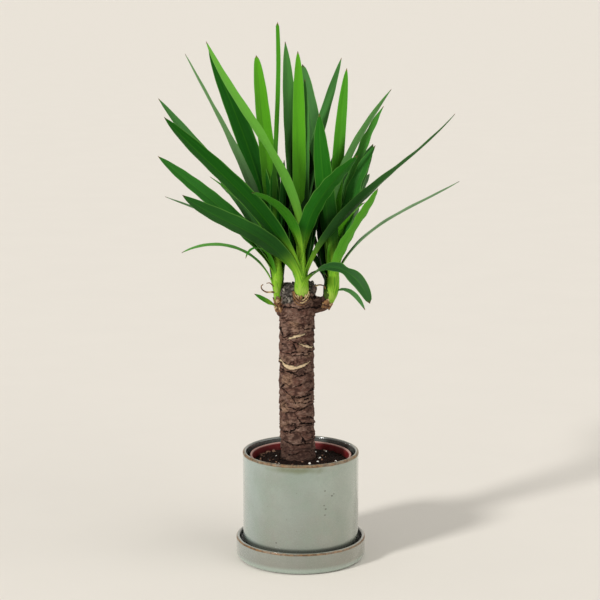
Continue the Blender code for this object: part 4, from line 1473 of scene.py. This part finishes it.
def plate_pattern(angle, z, pitch, waves, coarse, middling, fine):
    """How far up its plate of bark each place is, from 0 to 1, and how deep in an upright seam."""
    wander = np.zeros(len(z))
    for count, size, phase in waves:
        wander += size * np.sin(count * angle + phase + TAU * z / SCAR_WANDER_PITCH)
    level = z / pitch + wander
    # Each ring of scars is split into plates, whose own height is shifted a little.
    ring = np.floor(level)
    plates = 3 + np.floor(random_of(ring) * 3)
    slant = (random_of(ring, 5) - 0.5) * 3.0
    around = (angle / TAU + random_of(ring, 2)) * plates + slant * (level - ring) + coarse * 0.4
    plate = np.floor(around)
    shift = (random_of(ring, plate, 3) - 0.5) * 0.60
    up = (level + shift + coarse * 0.32 + middling * 0.12 + fine * 0.05) % 1.0
    gap = np.minimum(around - plate, plate + 1 - around) / plates * TAU * CANE_RADIUS
    seam = smooth(1.1 * MM, 0.2 * MM, gap) * smooth(0.45, 0.6, random_of(ring, plate, 9))
    return up, seam


def scar_relief(x, z, front, uneven):
    """How torn and how cracked the front is along its scars, and how far they raise the bark."""
    torn, crack, raised = (np.zeros(len(z)) for _ in range(3))
    for route, half in TORN_SCARS:
        away, share = line_distance(x, z + uneven, route)
        width = half * MM * (0.35 + 0.65 * np.sin(math.pi * np.clip(share, 0.05, 0.95)))
        torn = np.maximum(torn, smooth(width * 1.1, width * 0.8, away) * front)
        beside = smooth(width + 1.1 * MM, width + 0.3 * MM, away)
        crack = np.maximum(crack, beside * front * 0.95)
    for route, half in BARK_CRACKS:
        away, above, below = (line_distance(x, z + uneven * 2 + shift, route)[0]
                              for shift in (0.0, -2.6 * MM, 2.2 * MM))
        dark = smooth(half * MM * 1.3, half * MM * 0.4, away) * front
        crack = np.maximum(crack, dark)
        lifted = smooth(3 * MM, 0.5 * MM, above) * 0.8
        sunk = smooth(2.4 * MM, 0.4 * MM, below) * 0.9
        raised += (lifted - sunk) * front * MM - dark * 0.9 * MM
    return torn, crack, raised - torn * 0.5 * MM


def char_marks(places, radius, coarse):
    """Where the sawn top is charred, and how deep in the seams between its lumps."""
    x, y, z = places.T
    char = smooth(CANE_TOP - 11 * MM, CANE_TOP - 4 * MM, z + coarse * 4 * MM)
    char = char * smooth(CANE_RADIUS * 1.25, CANE_RADIUS, radius)
    run = smooth(1.15, 0.7, spot_distance(x, z, CHAR_RUN) + coarse * 0.5)
    char = np.maximum(char, run * smooth(-5 * MM, -11 * MM, y))
    seams = np.zeros(len(z))
    for i in np.nonzero(char > 0.05)[0]:
        nearest = noise.voronoi(Vector(places[i] * (190, 190, 150)))[0]
        seams[i] = nearest[1] - nearest[0]
    return char, smooth(0.22, 0.04, seams) * char


def bark_relief(mesh, cane, waves):
    """Pushes the plain bar out into plates of bark, and stores where cracks and torn scars lie."""
    places = positions(mesh)
    ways = normals(mesh)
    x, y, z = places.T
    rise = np.clip((z - BARK_LOW) / (CANE_TOP - BARK_LOW), 0, 1)
    middle = CANE_X - CANE_BOW * np.sin(math.pi * rise)
    angle = np.arctan2(y, x - middle)
    radius = np.hypot(x - middle, y)
    coarse = rough(places, 55, 3)
    middling = rough(places * np.array([1, 1, 1.6]), 130, 3, 11.0)
    fine = rough(places, 300, 4, 7.0)
    on_bark = smooth(BARK_LOW - 6 * MM, BARK_LOW + 2 * MM, z)
    on_body = smooth(CANE_RADIUS * 0.80, CANE_RADIUS * 0.93, radius)
    on_body = on_body * smooth(0.9, 0.4, np.abs(ways[:, 2]))
    front = smooth(0.0, -6 * MM, y) * on_bark

    up, seam = plate_pattern(angle, z, cane.scar_pitch, waves, coarse, middling, fine)
    ledge = np.where(up < 0.08, smooth(0.0, 0.08, up), 1 - smooth(0.08, 1.0, up) * 0.95)
    wave = CANE_WAVE * np.sin(3 * angle + TAU * z / CANE_WAVE_PITCH)
    out = cane.scar_step * (ledge * 1.15 - 0.15) + wave * on_body - 0.7 * MM * seam
    out += (coarse * 0.55 + middling * 0.75 + fine * 0.5) * MM
    # Painted shadow under each plate's overhanging ledge, kept with the real cracks.
    crack = np.clip(smooth(0.89, 0.97, up) + smooth(0.06, 0.02, up), 0, 1)
    crack = np.maximum(crack * (0.45 + 0.55 * smooth(-0.25, 0.25, coarse)), seam * 0.85)

    split = rough(np.stack([angle * 2.4, z * 28, np.zeros(len(z))], axis=1), 1.6, 3, 3.0)
    splits = smooth(0.05, 0.0, np.abs(split)) * smooth(0.0, 0.3, fine + 0.2) * 0.6
    torn, scars, raised = scar_relief(x, z, front, (fine * 0.9 + coarse * 0.5) * MM)
    char, seams = char_marks(places, radius, coarse)
    crack = np.maximum(np.maximum(crack, splits * 0.8), scars) * (1 - torn)
    out += raised - 0.35 * MM * splits
    out += char * (fine * 1.6 + middling) * MM - seams * 1.2 * MM

    # Painted shade in the bark's hollows, where its relief is lowest, and a darker patch on the
    # stub.
    hollow = smooth(-0.05, -0.5, middling + fine * 0.5)
    stub = smooth(1.2, 0.6, spot_distance(x, z, DARK_STUB) + coarse * 0.4)
    # Pale flecks on the raised bark, a painted highlight broken into flecks.
    fleck = smooth(0.12, 0.5, middling + fine * 0.8) * smooth(0.9, 0.6, up)
    # A painted highlight along the upper lip of each ledge.
    lip = smooth(0.06, 0.12, up) * smooth(0.30, 0.16, up) * smooth(-0.1, 0.4, coarse + fine * 0.6)
    # A painted highlight patch low on the left.
    pale = smooth(1.2, 0.5, spot_distance(x, z, PALE_PATCH) + middling * 0.6) * (y < 0)
    # Tan patches; the two spots on the left are painted highlights.
    tan = smooth(0.25, 0.45, rough(places, 42, 3, 19.0)) * 0.55
    for spot in TAN_AND_HIGHLIGHT_SPOTS:
        away = spot_distance(x, z, spot) + coarse * 0.6
        tan = np.maximum(tan, smooth(1.1, 0.5, away) * front)

    # Away from the round body, on collars and the stub, only rough bark is put on.
    share = on_bark * np.where(z > CANE_TOP - 2 * MM, 1.0, np.clip(on_body + 0.35, 0, 1))
    set_positions(mesh, places + ways * (out * share)[:, None])
    for name, values in {
            "crack": np.maximum(crack, seams), "torn": torn, "tan": tan, "char": char,
            "hollow": np.maximum(hollow, stub),
            "fleck": np.maximum(np.maximum(fleck, lip), pale)}.items():
        set_mask(mesh, name, np.clip(values, 0, 1))


def cane_mesh(cane, rng):
    """The bar, the collars and the crust grown into one, with bark on it."""
    waves = [(count, size, rng.uniform(0, TAU)) for count, size in SCAR_WAVES]
    parts = [bar_mesh()]
    for name, shoot in SHOOTS.items():
        seat, facing = seat_of(shoot)
        start, start_radius, radius = shoot["collar"]
        line, radii = fine_route([Vector(start) * MM, seat - facing * COLLAR_STRAIGHT, seat],
                                 [start_radius * MM, radius * MM, radius * MM], 1 * MM)
        parts.append(tube_mesh(f"collar_{name}", line, radii, 40))
    mesh = joined_mesh("cane", [*parts, crust_mesh()])
    mesh = modified_mesh(mesh, "cane", "REMESH", mode="VOXEL", voxel_size=cane.grain,
                         use_smooth_shade=True)
    bark_relief(mesh, cane, waves)
    return mesh


# ------------------------------------------------------------------------------------------- leaves


def blade_width(share, point):
    """The leaf's width at a share of its length, in shares of its full width."""
    spread = math.sin(math.pi / 2 * min(share / BLADE_WIDEST, 1))
    full = BLADE_ROOT_WIDTH + (1 - BLADE_ROOT_WIDTH) * spread
    return full * (1 - share ** BLADE_TAPER) ** point


def blade_fold(share):
    left = 1 - min(share / BLADE_FOLD_LENGTH, 1.0)
    return BLADE_FOLD + (BLADE_FOLD_ROOT - BLADE_FOLD) * left ** 2


def lean_at(share, leans):
    root, middle, tip = leans
    return (root * (2 * share - 1) * (share - 1) + middle * 4 * share * (1 - share)
            + tip * share * (2 * share - 1))


def ease(share):
    share = clamp(share)
    return share * share * (3 - 2 * share)


def mixed(ends, share):
    return ends[0] + (ends[1] - ends[0]) * share


def back_leaves(name, rng):
    """Leaves for the back of a shoot, in the columns of LEAVES, the lower ones hanging further."""
    count, low, high = BACK_LEAVES[name]
    leaves = []
    for i in range(count):
        azimuth = low + (high - low) * (i + 0.5) / count + rng.uniform(-5, 5)
        lower = (i * 2 % count) / count
        height = mixed(BACK_ROOT_HEIGHTS, lower)
        tip_lean = mixed(BACK_TIP_LEANS, lower) + rng.uniform(-4, 4)
        length = rng.uniform(*BACK_LENGTHS)
        width = rng.uniform(*BACK_WIDTHS)
        tip_roll = rng.uniform(-8, 8)
        tone = 0.15 + 0.15 * (i % 3) / 2
        leaves.append((height, azimuth, BACK_ROOT_LEAN, tip_lean * BACK_MIDDLE_LEAN, tip_lean,
                       length, width, 0, tip_roll, tone, 0.2))
    return leaves


def blade_middle(shoot, leaf, number, green_from, row_length):
    """The leaf's middle skin in rows across it, from its foot to its tip, and each row's share."""
    height, azimuth, *leans, length, width, roll, tip_roll, tone, _ = leaf
    length *= MM
    width *= MM
    point = BLUNT_TIPS.get(number, BLUNT_POINT if tone > 0.65 else BLADE_POINT)
    pinch_at, pinch = PINCHES.get(number, (0.5, 0.0))
    rows = max(12, round(length / row_length))
    centre = shoot_axis_point(shoot, height * MM) + lean_vector(90, azimuth) * ROOT_OFFSET
    across = Matrix.Rotation(math.radians(azimuth), 3, "Z") @ Vector((0, 1, 0))
    rng = random.Random(SEED * 100 + number)
    ripple_phase = rng.uniform(0, TAU)
    ripple_count = rng.uniform(5, 9)
    skin, shares = [], []
    for i in range(rows + 1):
        share = i / rows
        for k in range(3 if i else 0):
            step_lean = lean_at((i - 1 + (k + 0.5) / 3) / rows, leans)
            centre = centre + lean_vector(step_lean, azimuth) * (length / rows / 3)
        along = lean_vector(lean_at(share, leans), azimuth)
        rolled = roll * min(share / ROLL_STEADY, 1.0)
        rolled += (tip_roll - roll) * ease((share - ROLL_CHANGE_START) / ROLL_CHANGE_LENGTH)
        sideways = Matrix.Rotation(math.radians(rolled), 3, along) @ across
        inward = along.cross(sideways)
        half = max(width * blade_width(share, point), BLADE_TIP) / 2
        half *= 1 - pinch * math.exp(-((share - pinch_at) / PINCH_LENGTH) ** 2)
        fold = half * blade_fold(share)
        power = 1.08 + 0.9 * (1 - min(share / 0.2, 1.0))
        ripple = WAVED.get(number, BLADE_WAVE) * half
        row = []
        for u in BLADE_ACROSS:
            wave = ripple * math.sin(share * ripple_count * TAU + ripple_phase + u) * abs(u) ** 2
            wave *= smooth(0.08, 0.3, share)
            row.append(centre + sideways * half * u + inward * (fold * abs(u) ** power + wave))
        skin.append(row)
        shares.append(share)
    axis_way = lean_vector(*shoot["axis"][1:])
    for i in range(FOOT_ROWS):
        drop = (i + 1) * FOOT_ROW * MM
        if height * MM - drop < green_from:
            break
        skin.insert(0, [place - axis_way * FOOT_ROW * MM for place in skin[0]])
        shares.insert(0, -drop / length)
    return np.array([[tuple(place) for place in row] for row in skin]), np.array(shares)


def clasped(middle, shares, shoot, order):
    """The middle skin with its foot pushed out to the stem's own skin, which it clasps."""
    start = np.array(shoot_axis_point(shoot, 0))
    way = np.array(lean_vector(*shoot["axis"][1:]))
    heights, radii = (np.array(values) * MM for values in zip(*shoot["stem"]))
    away = middle - start
    up = away @ way
    flat = away - up[..., None] * way
    reach = np.linalg.norm(flat, axis=2)
    hold = np.interp(up, heights, radii) * (0.80 + 0.24 * order)
    keep = smooth(0.20, 0.10, shares)[:, None] * (up < heights[-1] + 8 * MM)
    factor = 1 + (np.maximum(reach, hold) / np.maximum(reach, 0.2 * MM) - 1) * keep
    return start + up[..., None] * way + flat * factor[..., None]


def thick_rings(middle, shares, thickness):
    """Closed rings round the rows of the middle skin, thinner towards the edges and the tip."""
    normal = np.cross(np.gradient(middle, axis=0), np.gradient(middle, axis=1))
    normal /= np.maximum(np.linalg.norm(normal, axis=2, keepdims=True), 1e-12)
    body = thickness * (1.15 - 0.55 * np.clip(shares, 0, 1))[:, None]
    thick = body * np.sqrt(np.clip(1 - BLADE_ACROSS ** 2 * 0.93, 0, 1))[None, :] / 2
    top = middle + normal * thick[..., None]
    bottom = middle - normal * thick[..., None]
    top[:, 0] = middle[:, 0]
    top[:, -1] = middle[:, -1]
    return np.concatenate([top, bottom[:, -2:0:-1]], axis=1)


def blade_masks(leaf, number, places, along, under):
    """What the leaf's material reads at each place, by mask."""
    length, tone, bloom = leaf[5], leaf[9], leaf[10]
    x, y, z = places.T
    base_end = 0.20 + 0.10 * tone + 12 / length
    # Painted shade in the depth of the crown.
    inside = (smooth(55 * MM, 25 * MM, np.abs(x - 8 * MM)) * smooth(-4 * MM, 6 * MM, y)
              * smooth(0.535, 0.46, z) * smooth(0.37, 0.42, z))
    low_shade = LOW_SHADES.get(number, 0.0) * smooth(0.64, 0.36, along)
    low_shade = low_shade * smooth(0.12, 0.27, along)
    return {
        "tone": np.clip(tone + 0.10 * smooth(0.25, 0.0, along), 0, 1),
        "bloom": bloom * smooth(0.05, 0.25, along),
        "under": under,
        # The inner leaves' lime base is dimmed with their painted shade.
        "base": smooth(base_end, base_end * 0.25, along) * 0.9 * (0.35 if tone < 0 else 1.0),
        "cream": smooth(0.02 + 4 / length, -0.02, along) * 0.35,
        "dry": smooth(1 - 2.5 / length, 1.0, along),
        "number": np.full(len(along), float(number)),
        # Painted shade: the crown's depth, the lower parts of some leaves, the inner leaves wholly.
        "shade": np.maximum(np.maximum(0.7 * inside, low_shade), float(tone < 0)),
    }


def blade(shoot, leaf, number, order, green_from, options):
    """One leaf as a closed thin skin: its places, faces, UV and masks."""
    middle, shares = blade_middle(shoot, leaf, number, green_from, options.row)
    middle = clasped(middle, shares, shoot, order)
    rings = thick_rings(middle, shares, options.thickness)
    total, count = rings.shape[:2]
    tip = middle[-1].mean(axis=0) + np.array(lean_vector(leaf[4], leaf[1])) * 1.2 * MM
    foot = middle[0].mean(axis=0)
    places = np.concatenate([rings.reshape(-1, 3), [tip], [foot]])
    pairs = [(j, (j + 1) % count) for j in range(count)]
    faces = []
    for low in range(0, (total - 1) * count, count):
        high = low + count
        faces += [(low + j, low + k, high + k, high + j) for j, k in pairs]
    last, end = (total - 1) * count, total * count
    for j, k in pairs:
        faces += [(last + j, last + k, end), (k, j, end + 1)]
    around = np.concatenate([BLADE_ACROSS, BLADE_ACROSS[-2:0:-1]]) * 0.5 + 0.5
    beneath = np.arange(count) > BLADE_COLUMNS
    across = np.concatenate([np.tile(around, total), [0.5, 0.5]])
    along = np.concatenate([np.repeat(shares, count), [1.0, shares[0]]])
    under = np.concatenate([np.tile(beneath, total), [0, 1]])
    masks = blade_masks(leaf, number, places, along, under)
    return places, faces, np.stack([across, along], axis=1), masks


def stem_skin(shoot, green_from):
    """The shoot's own stem as rings of old leaf bases."""
    route, radii = stem_route(shoot, -0.5 * MM)
    line, radius = fine_route(route, radii, STEM_ROW * MM)

    def relief(angle, row):
        spiral = row * STEM_ROW / STEM_SCAR_PITCH + angle / TAU
        return 0.35 * MM * (1 - spiral % 1.0) - 0.1 * MM

    radius = radius * (0.93 - 0.10 * smooth(12, 0, np.arange(len(radius))))
    mesh = tube_mesh("stem", line, radius, 40, relief)
    places = positions(mesh)
    faces = [tuple(face.vertices) for face in mesh.polygons]
    count = len(places)
    up = np.linalg.norm(places - np.array(line[0]), axis=1)
    uv = np.stack([np.full(count, 0.5), np.zeros(count)], axis=1)
    masks = {
        "tone": np.full(count, 0.8), "bloom": np.zeros(count), "under": np.zeros(count),
        "base": np.full(count, 0.9), "cream": smooth(20 * MM, 2 * MM, up) * 0.5,
        "dry": smooth(green_from + 3 * MM, green_from - 2 * MM, up),
        "number": np.full(count, float(shoot["number"])), "shade": np.zeros(count),
    }
    return places, faces, uv, masks


def shoot_mesh(name, options, rng):
    """A shoot's stem and all its leaves, joined, with their UV and masks."""
    shoot = SHOOTS[name]
    leaves = [*LEAVES[name], *back_leaves(name, rng)]
    # Inner leaves carry a tone of -1, which paints them wholly in shade.
    leaves += [(*leaf, 0, 0, -1, 0.0) for leaf in INNER_LEAVES[name]]
    heights = sorted((leaf[0] for leaf in leaves), reverse=True)
    green_from = BUD_SCALES[name][5] * MM
    parts = [stem_skin(shoot, green_from)]
    for number, leaf in enumerate(leaves, shoot["number"] + 1):
        order = heights.index(leaf[0]) / (len(heights) - 1)
        parts.append(blade(shoot, leaf, number, order, green_from * 0.7, options))
    faces, start = [], 0
    for part_places, part_faces, _, _ in parts:
        faces += [tuple(v + start for v in face) for face in part_faces]
        start += len(part_places)
    places, _, uvs, masks = zip(*parts)
    mesh = new_mesh(f"{name}_shoot", np.concatenate(places).tolist(), faces)
    corners = np.empty(len(mesh.loops), dtype=np.int32)
    mesh.loops.foreach_get("vertex_index", corners)
    layer = mesh.uv_layers.new(name="leaf")
    layer.data.foreach_set("uv", np.concatenate(uvs)[corners].astype(np.float32).ravel())
    for key in masks[0]:
        set_mask(mesh, key, np.concatenate([part[key] for part in masks]))
    return shade(mesh, 65)


# ---------------------------------------------------------------------------------- husks and curls


def husk_mesh():
    """One papery bud scale, standing on the origin: its back towards +Y, its tip up."""
    rows, columns = 8, 6
    length, width, thick = 9 * MM, 9 * MM, 0.4 * MM
    outer, inner = [], []
    for i in range(rows + 1):
        share = i / rows
        half = width / 2 * (1 - share) ** 0.55 * (0.7 + 0.5 * share)
        for j in range(columns + 1):
            u = -1 + 2 * j / columns
            bulge = 1.7 * MM * (1 - u * u) * (1 - 0.3 * share) + 0.8 * MM * share ** 2
            edge = thick * (1 - 0.75 * abs(u)) * (1 - 0.7 * share)
            outer.append((half * u, bulge + edge, length * share))
            inner.append((half * u, bulge - edge, length * share))
    wide, shift = columns + 1, len(outer)
    faces = []
    for i in range(rows):
        for a in range(i * wide, i * wide + columns):
            b, c, d = a + 1, a + 1 + wide, a + wide
            faces += [(a, d, c, b), (shift + a, shift + b, shift + c, shift + d)]
    border = [*range(wide), *(i * wide + columns for i in range(1, rows + 1)),
              *(rows * wide + j for j in range(columns - 1, -1, -1)),
              *(i * wide for i in range(rows - 1, 0, -1))]
    faces += [(a, b, shift + b, shift + a) for a, b in zip(border, border[1:] + border[:1])]
    return close_mesh(new_mesh("husk", outer + inner, faces), 0.005 * MM)


# ---------------------------------------------------------------------------------------- operators


class YuccaSaucerOperator(bpy.types.Operator):
    """Turn the glazed saucer"""

    bl_idname = "yucca.saucer"
    bl_label = "Saucer"

    def execute(self, context):
        pots = context.scene.yucca_pots
        material = glaze_material("saucer_glaze", pots.saucer_glaze, pots, pots.saucer_radius,
                                  pots.saucer_wall, SAUCER_TOP, SAUCER_PALE_FROM)
        mesh = turned("glazed_saucer", saucer_profile(pots), material)
        add_piece("glazed_saucer", shade(mesh), material, ["saucer"])
        return {"FINISHED"}


class YuccaPlanterOperator(bpy.types.Operator):
    """Turn the glazed planter"""

    bl_idname = "yucca.planter"
    bl_label = "Planter"

    def execute(self, context):
        pots = context.scene.yucca_pots
        material = glaze_material("celadon_glaze", pots.glaze, pots, pots.planter_radius,
                                  pots.planter_wall, PLANTER_TOP, SAUCER_TOP)
        mesh = turned("glazed_planter", planter_profile(pots), material)
        add_piece("glazed_planter", shade(mesh), material, ["planter"])
        return {"FINISHED"}


class YuccaNurseryPotOperator(bpy.types.Operator):
    """Mould the plastic nursery pot with its drain holes"""

    bl_idname = "yucca.nursery_pot"
    bl_label = "Nursery pot"

    def execute(self, context):
        pots = context.scene.yucca_pots
        material = plastic_material(pots.terracotta)
        mesh = turned("plastic_pot", nursery_profile(pots), material)
        places = circle(NURSERY_DRAIN_CIRCLE, NURSERY_UNDERSIDE, NURSERY_DRAINS)
        mesh = drilled(mesh, "plastic_pot", places, NURSERY_DRAIN_RADIUS, 5 * MM)
        add_piece("plastic_pot", shade(mesh), material, ["nursery_pot"])
        return {"FINISHED"}


class YuccaSoilOperator(bpy.types.Operator):
    """Fill the pot with soil, and scatter crumbs, perlite and bark on it"""

    bl_idname = "yucca.soil"
    bl_label = "Potting soil"

    def execute(self, context):
        soil = context.scene.yucca_soil
        wall = context.scene.yucca_pots.nursery_wall
        material = soil_material(soil.colour)
        add_piece("soil_bed", shade(soil_mesh(wall), 60), material, ["soil"])
        surface = soil_top_mesh(wall)
        chips = chip_material(soil.bark_colour)
        white = perlite_material()
        # Name, how many, smallest and largest radius, shape, roughness, how far they are sunk,
        # detail, and material.
        kinds = (
            ("soil_crumbs", soil.crumbs, 0.5, 1.3, (1, 1, 0.8), 0.35, 0.2, 1, material),
            ("soil_clods", soil.clods, 1.4, 2.8, (1, 0.9, 0.7), 0.25, 0.6, 2, material),
            ("perlite", soil.perlite, 0.5, 2.0, (1, 0.9, 0.85), 0.2, 0.1, 2, white),
            ("bark_chips", soil.bark_bits, 0.8, 2.6, (1.8, 0.9, 0.45), 0.2, 0.2, 2, chips),
        )
        for seed, (name, density, low, high, form, uneven, sunk, detail, finish) in enumerate(
                kinds, SEED + 1):
            bits = run_tree(scatter_tree(), surface.copy(), {
                "Per square metre": float(density), "Smallest": low * MM, "Largest": high * MM,
                "Shape": form, "Roughness": uneven, "Sunk": sunk * MM, "Detail": detail,
                "Seed": seed, "Material": finish})
            add_piece(name, shade(bits, 80), finish)
        return {"FINISHED"}


class YuccaCaneOperator(bpy.types.Operator):
    """Carve the cane with its bark, scars and sawn top"""

    bl_idname = "yucca.cane"
    bl_label = "Cane"

    def execute(self, context):
        cane = context.scene.yucca_cane
        mesh = cane_mesh(cane, random.Random(SEED))
        add_piece("yucca_cane", shade(mesh, 70), bark_material(cane), ["cane"])
        return {"FINISHED"}


class YuccaShootsOperator(bpy.types.Operator):
    """Grow the three shoots with their leaves"""

    bl_idname = "yucca.shoots"
    bl_label = "Leafy shoots"

    def execute(self, context):
        options = context.scene.yucca_leaf
        material = leaf_material(options)
        rng = random.Random(SEED)
        # The cane's waves take the first draws, and the back leaves go on after them.
        for _ in SCAR_WAVES:
            rng.uniform(0, TAU)
        for name in SHOOTS:
            mesh = shoot_mesh(name, options, rng)
            add_piece(f"{name}_shoot", mesh, material, [f"shoot_{name}"])
        return {"FINISHED"}


class YuccaHusksOperator(bpy.types.Operator):
    """Set papery scales round the foot of each shoot"""

    bl_idname = "yucca.husks"
    bl_label = "Bud scales"

    def execute(self, context):
        material = husk_material()
        scale = husk_mesh()
        for seed, (name, shoot) in enumerate(SHOOTS.items(), SEED):
            count, size, under, rise, lean, _ = BUD_SCALES[name]
            mesh = run_tree(ring_tree(), scale.copy(), {
                "Count": count, "Radius": shoot["collar"][2] * MM - 0.6 * MM * size,
                "Rise": rise * MM, "Taper": 0.05, "Lean": lean, "Smallest": size * 0.7,
                "Largest": size * 1.15, "Seed": seed, "Material": material})
            seat, _ = seat_of(shoot)
            way = (shoot_axis_point(shoot, 12 * MM) - seat).normalized()
            turn = way.to_track_quat("Z", "Y").to_matrix().to_4x4()
            mesh.transform(Matrix.Translation(seat - way * under * MM) @ turn)
            add_piece(f"{name}_bud_scales", shade(mesh, 60), material)
        return {"FINISHED"}


class YuccaCurlsOperator(bpy.types.Operator):
    """Add the dried leaf curls at the top of the cane"""

    bl_idname = "yucca.curls"
    bl_label = "Dried curls"

    def execute(self, context):
        material = husk_material()
        meshes = []
        for route, radius in DRY_CURLS:
            places = [tuple(c * MM for c in place) for place in route]
            line = new_mesh("curl", places, (), [(i, i + 1) for i in range(len(route) - 1)])
            meshes.append(close_mesh(run_tree(curl_tree(), line, {
                "Radius": radius * MM, "Sides": 10, "Rows": 40, "Material": material})))
        mesh = joined_mesh("dried_curls", meshes)
        add_piece("dried_curls", shade(mesh, 60), material)
        return {"FINISHED"}


class YuccaStageOperator(bpy.types.Operator):
    """Lay the studio floor, and set the light and the camera"""

    bl_idname = "yucca.stage"
    bl_label = "Floor, light and camera"

    def execute(self, context):
        stage = context.scene.yucca_stage
        steps = 96
        mesh = new_mesh("studio_floor", circle(FLOOR_RADIUS, 0.0, steps), [tuple(range(steps))])
        floor = linked("studio_floor", mesh)
        material, tree, shader, place = new_material("studio_floor", 0.9, 0.2)
        paint = clouds(tree, place, 6.0, 3.0, 0.2, 0.8)
        feed(tree, shader, {
            "Base Color": blend(tree, paint, stage.floor, tint(stage.floor, 0.985))})
        mesh.materials.append(material)
        self.light(context, stage)
        self.camera(context, stage)
        return {"FINISHED"}

    def light(self, context, stage):
        """Soft light from all round, which shows as the pale room, and two suns."""
        world = bpy.data.worlds.new("studio")
        world.use_nodes = True
        tree = world.node_tree
        fill = tree.nodes["Background"]
        feed(tree, fill.inputs, {"Color": (1.0, 0.985, 0.95, 1.0), "Strength": stage.sky})
        room = add_node(tree, "ShaderNodeBackground", {
            "Color": (0.81, 0.765, 0.69, 1.0), "Strength": 1.0})
        path = add_node(tree, "ShaderNodeLightPath").outputs
        seen = maths(tree, "MAXIMUM", path["Is Camera Ray"], path["Is Glossy Ray"])
        mixed_light = add_node(tree, "ShaderNodeMixShader", {
            0: seen, 1: fill.outputs[0], 2: room.outputs[0]})
        feed(tree, tree.nodes["World Output"].inputs, {"Surface": mixed_light.outputs[0]})
        context.scene.world = world
        for name, strength, spread, way in (
                ("key", stage.key, 9, (-0.70, -0.62, 0.50)),
                ("side", stage.side, 70, (0.85, -0.45, 0.30))):
            light = bpy.data.lights.new(name, "SUN")
            light.energy = strength
            light.angle = math.radians(spread)
            light.color = (1.0, 0.985, 0.96)
            turn = Vector(way).to_track_quat("Z", "Y")
            linked(name, light).rotation_euler = turn.to_euler()

    def camera(self, context, stage):
        data = bpy.data.cameras.new("camera")
        data.lens = stage.lens
        data.sensor_width = 36.0
        camera = linked("camera", data)
        back = Vector((0, -math.cos(stage.tilt), math.sin(stage.tilt)))
        camera.location = Vector(CAMERA_TARGET) + back * CAMERA_DISTANCE
        camera.rotation_euler = (math.pi / 2 - stage.tilt, 0, 0)
        context.scene.camera = camera
        context.scene.view_settings.view_transform = "Standard"


class YuccaPanel(bpy.types.Panel):
    """Lists the plant's pieces in the sidebar"""

    bl_idname = "VIEW3D_PT_yucca"
    bl_label = "Potted yucca"
    bl_space_type = "VIEW_3D"
    bl_region_type = "UI"
    bl_category = "Yucca"

    def draw(self, context):
        for group in SETTINGS:
            for key in group.__annotations__:
                self.layout.prop(getattr(context.scene, SETTINGS[group]), key)
        for operator in OPERATORS:
            self.layout.operator(operator.bl_idname)


SETTINGS = {
    YuccaPotSettings: "yucca_pots",
    YuccaSoilSettings: "yucca_soil",
    YuccaCaneSettings: "yucca_cane",
    YuccaLeafSettings: "yucca_leaf",
    YuccaStageSettings: "yucca_stage",
}
OPERATORS = (
    YuccaStageOperator,
    YuccaSaucerOperator,
    YuccaPlanterOperator,
    YuccaNurseryPotOperator,
    YuccaSoilOperator,
    YuccaCaneOperator,
    YuccaShootsOperator,
    YuccaHusksOperator,
    YuccaCurlsOperator,
)


def register():
    for group, name in SETTINGS.items():
        bpy.utils.register_class(group)
        setattr(bpy.types.Scene, name, PointerProperty(type=group))
    for operator in OPERATORS:
        bpy.utils.register_class(operator)
    bpy.utils.register_class(YuccaPanel)


def unregister():
    bpy.utils.unregister_class(YuccaPanel)
    for operator in reversed(OPERATORS):
        bpy.utils.unregister_class(operator)
    for group, name in reversed(SETTINGS.items()):
        delattr(bpy.types.Scene, name)
        bpy.utils.unregister_class(group)


def main():
    register()
    for operator in OPERATORS:
        group, name = operator.bl_idname.split(".")
        getattr(getattr(bpy.ops, group), name)()
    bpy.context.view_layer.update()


if __name__ == "__main__":
    main()
